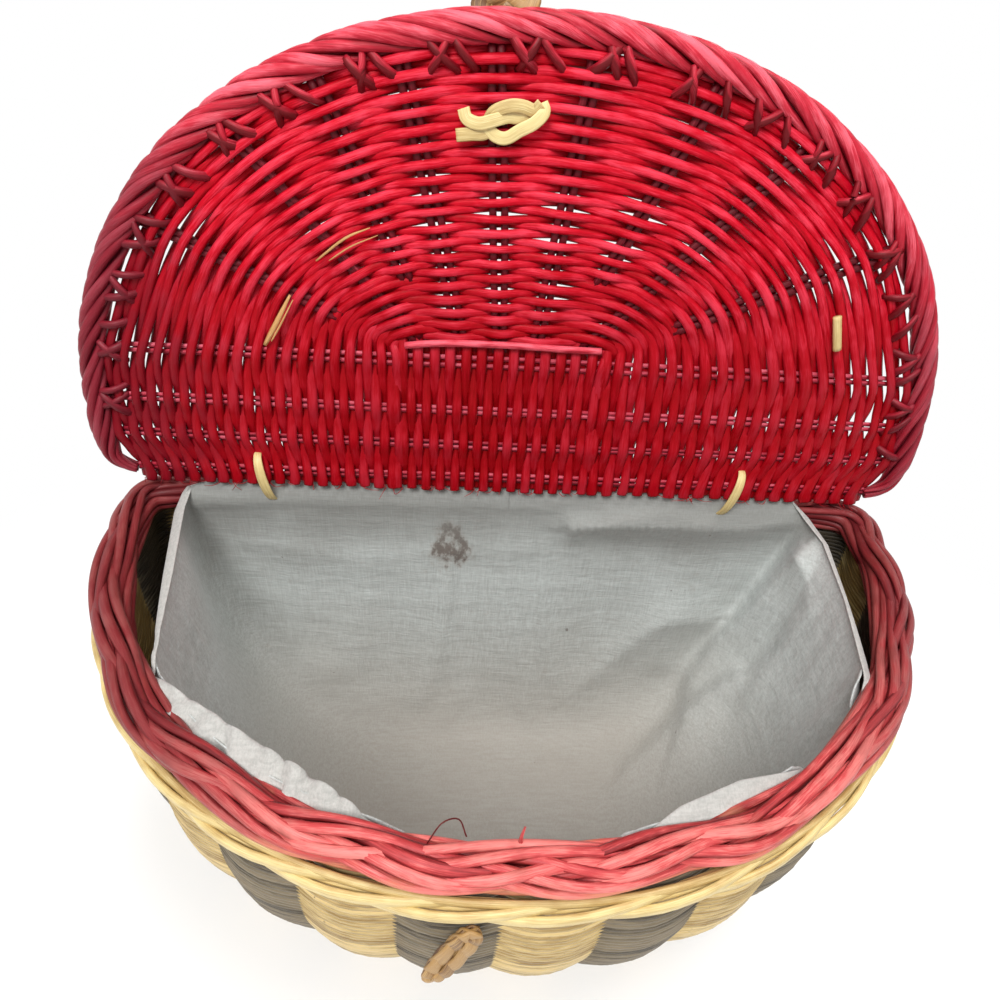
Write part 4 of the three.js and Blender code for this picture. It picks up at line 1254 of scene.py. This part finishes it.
def folded(points, share, free):
    """Raises a share of the height of the folds of the bag, and nothing where it isn't free."""
    sight = np.array(FOLD_SIGHT, float)
    inward = unit(sight - points)
    reach = np.linalg.norm(sight - points, axis=1)
    for height, left, right, line in FOLDS:
        line = unit(sight - through(line, 8))
        away = inward[:, None] - line[None]
        nearest = np.linalg.norm(away, axis=2).argmin(1)
        away = away[np.arange(len(points)), nearest]
        side = (np.cross(np.gradient(line, axis=0)[nearest], away) * inward).sum(1)
        width = np.where(side > 0, right, left)
        ridge = np.exp(-(np.linalg.norm(away, axis=1) * reach / width) ** 1.5)
        ridge *= np.clip(1.3 - nearest / (len(line) - 1), 0, 1)
        points = points + inward * (share * height * ridge * free)[:, None]
    return points


class BASKET_OT_lining(Operator):
    """Hang the cotton lining from its hem and let it fall into its folds"""
    bl_idname = "basket.lining"
    bl_label = "Cotton lining"

    def execute(self, context):
        cells = context.scene.basket_sizes.lining_cells
        work = bmesh.new()
        bmesh.ops.create_grid(work, x_segments=cells, y_segments=cells, size=1)
        flat = np.array([vert.co[:] for vert in work.verts])
        edge = np.abs(flat).max(1)
        free = np.clip((1 - edge) * 8, 0, 1)
        points = folded(bag_points(flat), 0.4, free)
        for vert, place in zip(work.verts, points):
            vert.co = place * MM
        bmesh.ops.recalc_face_normals(work, faces=work.faces)
        mesh = kept_mesh("lining_bag", work)
        bag = add_piece("lining_bag", mesh, "basket", "cotton", ["lining"])
        held = edge > 0.999
        held |= clear_of_rim(points, 0)[1] < RIM_RADIUS + 2.5
        hang(context, bag, held)
        self.finish_folds(mesh, free)
        bag.modifiers.new("cloth", "SOLIDIFY").thickness = CLOTH_THICKNESS
        hem_piece = add_rods("lining_hem", [self.hem_band()], "basket", "hem", "cotton_lining")
        return {"FINISHED"}

    def hem_band(self):
        """The turned band of the hem. It lies flat and crinkled at the front and stands on edge
        behind."""
        draw = np.random.default_rng(17)
        count = 460
        turn = TURN * np.arange(count) / count
        hem, band = hem_at(turn)
        out = outward(hem)
        front = np.clip(-hem[:, 1] / 40, 0, 1)
        loose = np.clip(0.6 - hem[:, 0] / 60, 0.1, 1) * front
        crinkle = sum(draw.normal(0, 0.55) * np.sin(k * turn + draw.uniform(0, 6))
                      for k in (31, 43, 57, 71, 90))
        crease = sum(draw.normal(0, 0.5) * np.sin(k * turn + draw.uniform(0, 6))
                     for k in (27, 39, 63, 84))
        points = hem - out * (0.35 * band * front + 0.3 * crinkle * loose)[:, None]
        points[:, 2] += 0.6 + 0.9 * crease * loose
        flat_on = np.maximum(front, 0.8 * np.clip((np.abs(hem[:, 0]) - 150) / 15, 0, 1))
        side = -out * (0.35 + 0.65 * flat_on)[:, None]
        side[:, 2] = 0.9 - 0.55 * flat_on + 0.25 * crinkle * loose
        return rod(points, side, oval(1, 0.55, 12, 2.4), 0.5, True, band,
                   1 + 0.15 * crease * loose)

    def finish_folds(self, mesh, free):
        """Smooths the fallen cloth and raises its folds, on a mesh twice as fine."""
        work = bmesh.new()
        work.from_mesh(mesh)
        loose = work.verts.layers.float.new("loose")
        for vert, share in zip(work.verts, free):
            vert[loose] = share
        bmesh.ops.subdivide_edges(work, edges=work.edges[:], cuts=1, use_grid_fill=True)
        inner = [vert for vert in work.verts if vert[loose] > 0.01]
        for _ in range(BAG_SMOOTHING):
            bmesh.ops.smooth_vert(work, verts=inner, factor=0.5, use_axis_x=True, use_axis_y=True,
                                  use_axis_z=True)
        points = np.array([vert.co[:] for vert in work.verts]) / MM
        free = np.array([vert[loose] for vert in work.verts])
        points = clear_of_rim(folded(points, 1.0, free), RIM_RADIUS + 1.5)[0]
        for vert, place in zip(work.verts, points):
            vert.co = place * MM
        for face in work.faces:
            face.smooth = True
        work.to_mesh(mesh)
        work.free()


CLOTH = {"quality": 7, "mass": 0.15, "tension_stiffness": 20, "compression_stiffness": 20,
         "shear_stiffness": 8, "bending_stiffness": 0.35, "air_damping": 3, "shrink_min": -0.03}


def hang(context, bag, held):
    """Lets a cloth fall under its own weight on a plain floor, and keeps the shape it takes."""
    scene = context.scene
    group = bag.vertex_groups.new(name="hem")
    group.add(np.flatnonzero(held).tolist(), 1.0, "REPLACE")
    rest = level_sheet("rest", 2, 0.4, 0.0085)
    rest.modifiers.new("stop", "COLLISION")
    rest.collision.thickness_outer = 0.001
    cloth = bag.modifiers.new("fall", "CLOTH")
    for name, value in CLOTH.items():
        setattr(cloth.settings, name, value)
    cloth.settings.vertex_group_mass = "hem"
    cloth.collision_settings.distance_min = 0.001
    cloth.point_cache.frame_start, cloth.point_cache.frame_end = 1, 30
    for frame_number in range(1, FALL_FRAMES + 1):
        scene.frame_set(frame_number)
    shaped = bag.evaluated_get(context.evaluated_depsgraph_get())
    places = [vert.co.copy() for vert in shaped.data.vertices]
    bag.modifiers.remove(cloth)
    for vert, place in zip(bag.data.vertices, places):
        vert.co = place
    bag.vertex_groups.clear()
    bpy.data.objects.remove(rest)
    scene.frame_set(1)


# Stage, camera and light

# The camera: its place, how far it looks down and to the right, how far it leans, its focal
# length in widths of its sensor, and how far its picture is shifted
EYE = (-0.02934, -0.223595, 0.449993)
DOWNWARD, SIDEWAYS, LEAN = 0.7174, 0.0792, 0.0859
SENSOR_WIDTH = 36
FOCAL_WIDTHS = 0.71869
SHIFT = 0.0104
# The lamps: place, height of the point that they light, width and power
LAMPS = {
    "key": ((-0.3, -0.8, 1.4), 0.25, 0.6, 19),
    "top": ((0.3, 0.05, 1.6), 0.2, 0.8, 9),
    "back": ((0.4, 1.5, 1.0), 0.25, 1.0, 6),
}


def set_up(name, data, axes, place):
    """A lamp or camera at a place in metres, with its own axes turned to three directions."""
    made = linked(name, data)
    made.matrix_world = Matrix([(*row, p) for row, p in zip(np.stack(axes, 1), place)]
                               + [(0, 0, 0, 1)])
    return made


def lay_floor():
    """A pale floor that goes over into plain white around the basket."""
    floor = level_sheet("floor", 1, 6, -0.0004)
    paint = Finish("pale floor", Roughness=0.9)
    spot = paint.noise(paint.place(), 3.0, 2.0)
    paint.feed(Base_Color=paint.mix(spot, "#f4f4f4", "#ffffff"))
    away = paint.node("ShaderNodeVectorMath", {"operation": "LENGTH"}, {0: paint.place()},
                      "Value").between(0.25, 0.5)
    shine = paint.node("ShaderNodeEmission", {}, {"Color": (1, 1, 1, 1), "Strength": 1.0})
    lit = Wire(paint, paint.shader.outputs[0])
    blend = paint.node("ShaderNodeMixShader", {},
                       {0: away * paint.background_share(), 1: lit, 2: shine})
    paint.tree.links.new(blend.socket, paint.tree.nodes["Material Output"].inputs[0])
    floor.data.materials.append(paint.material)


def light_sky(scene):
    """Even light from all around, before a white background."""
    world = bpy.data.worlds.new("studio")
    scene.world = world
    world.use_nodes = True
    sky = Nodes(world.node_tree)
    sky.tree.nodes.clear()
    light, white = (sky.node("ShaderNodeBackground", {}, {0: (1, 1, 1, 1), 1: strength})
                    for strength in (0.45, 1.0))
    blend = sky.node("ShaderNodeMixShader", {}, {0: sky.background_share(), 1: light, 2: white})
    end = sky.tree.nodes.new("ShaderNodeOutputWorld")
    sky.tree.links.new(blend.socket, end.inputs[0])


def hang_lamps():
    """Soft lamps, each turned to its point above the middle of the floor."""
    for name, (place, aim, width, power) in LAMPS.items():
        data = bpy.data.lights.new(name, "AREA")
        data.shape, data.size, data.energy = "DISK", width, power
        back = unit(np.array(place) - (0, 0, aim))
        right = unit(np.cross((0, 1, 0.01), back))
        set_up(name, data, (right, np.cross(back, right), back), place)


def aim_camera(scene):
    """The camera from which the basket looks as it does in the photo."""
    ahead = np.array([math.sin(SIDEWAYS), math.cos(SIDEWAYS), 0])
    forward = ahead * math.cos(DOWNWARD) - np.array([0, 0, math.sin(DOWNWARD)])
    right = np.array([math.cos(SIDEWAYS), -math.sin(SIDEWAYS), 0])
    up = np.cross(right, forward)
    turned = right * math.cos(LEAN) + up * math.sin(LEAN)
    upright = -right * math.sin(LEAN) + up * math.cos(LEAN)
    data = bpy.data.cameras.new("camera")
    data.sensor_width = SENSOR_WIDTH
    data.lens = SENSOR_WIDTH * FOCAL_WIDTHS
    data.shift_y = SHIFT
    data.clip_start = 0.01
    scene.camera = set_up("camera", data, (turned, upright, -forward), EYE)


class BASKET_OT_stage(Operator):
    """Set the pale floor, the soft studio light and the camera"""
    bl_idname = "basket.stage"
    bl_label = "Studio"

    def execute(self, context):
        scene = context.scene
        lay_floor()
        light_sky(scene)
        hang_lamps()
        aim_camera(scene)
        scene.view_settings.view_transform = "Standard"
        return {"FINISHED"}


OPERATORS = (BASKET_OT_stage, BASKET_OT_side_weave, BASKET_OT_rim_border, BASKET_OT_waling,
             BASKET_OT_foot, BASKET_OT_lid_weave, BASKET_OT_lid_sticks, BASKET_OT_lid_border,
             BASKET_OT_splinters, BASKET_OT_hinges, BASKET_OT_knot, BASKET_OT_hasp,
             BASKET_OT_front_loop, BASKET_OT_lining)


class BASKET_PT_panel(Panel):
    """Lists the sizes, the colours and the pieces of the basket"""
    bl_idname = "BASKET_PT_panel"
    bl_label = "Wicker basket"
    bl_space_type = "VIEW_3D"
    bl_region_type = "UI"
    bl_category = "Basket"

    def draw(self, context):
        for group in (context.scene.basket_sizes, context.scene.basket_colours):
            for name in group.__annotations__:
                self.layout.prop(group, name)
        for operator in OPERATORS:
            self.layout.operator(operator.bl_idname)


CLASSES = (BasketSizes, BasketColours, *OPERATORS, BASKET_PT_panel)


def register():
    for cls in CLASSES:
        bpy.utils.register_class(cls)
    bpy.types.Scene.basket_sizes = PointerProperty(type=BasketSizes)
    bpy.types.Scene.basket_colours = PointerProperty(type=BasketColours)


def unregister():
    del bpy.types.Scene.basket_colours
    del bpy.types.Scene.basket_sizes
    for cls in reversed(CLASSES):
        bpy.utils.unregister_class(cls)


def main():
    register()
    make_finishes(bpy.context.scene.basket_colours)
    for operator in OPERATORS:
        group, name = operator.bl_idname.split(".")
        getattr(getattr(bpy.ops, group), name)()
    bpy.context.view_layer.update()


if __name__ == "__main__":
    main()
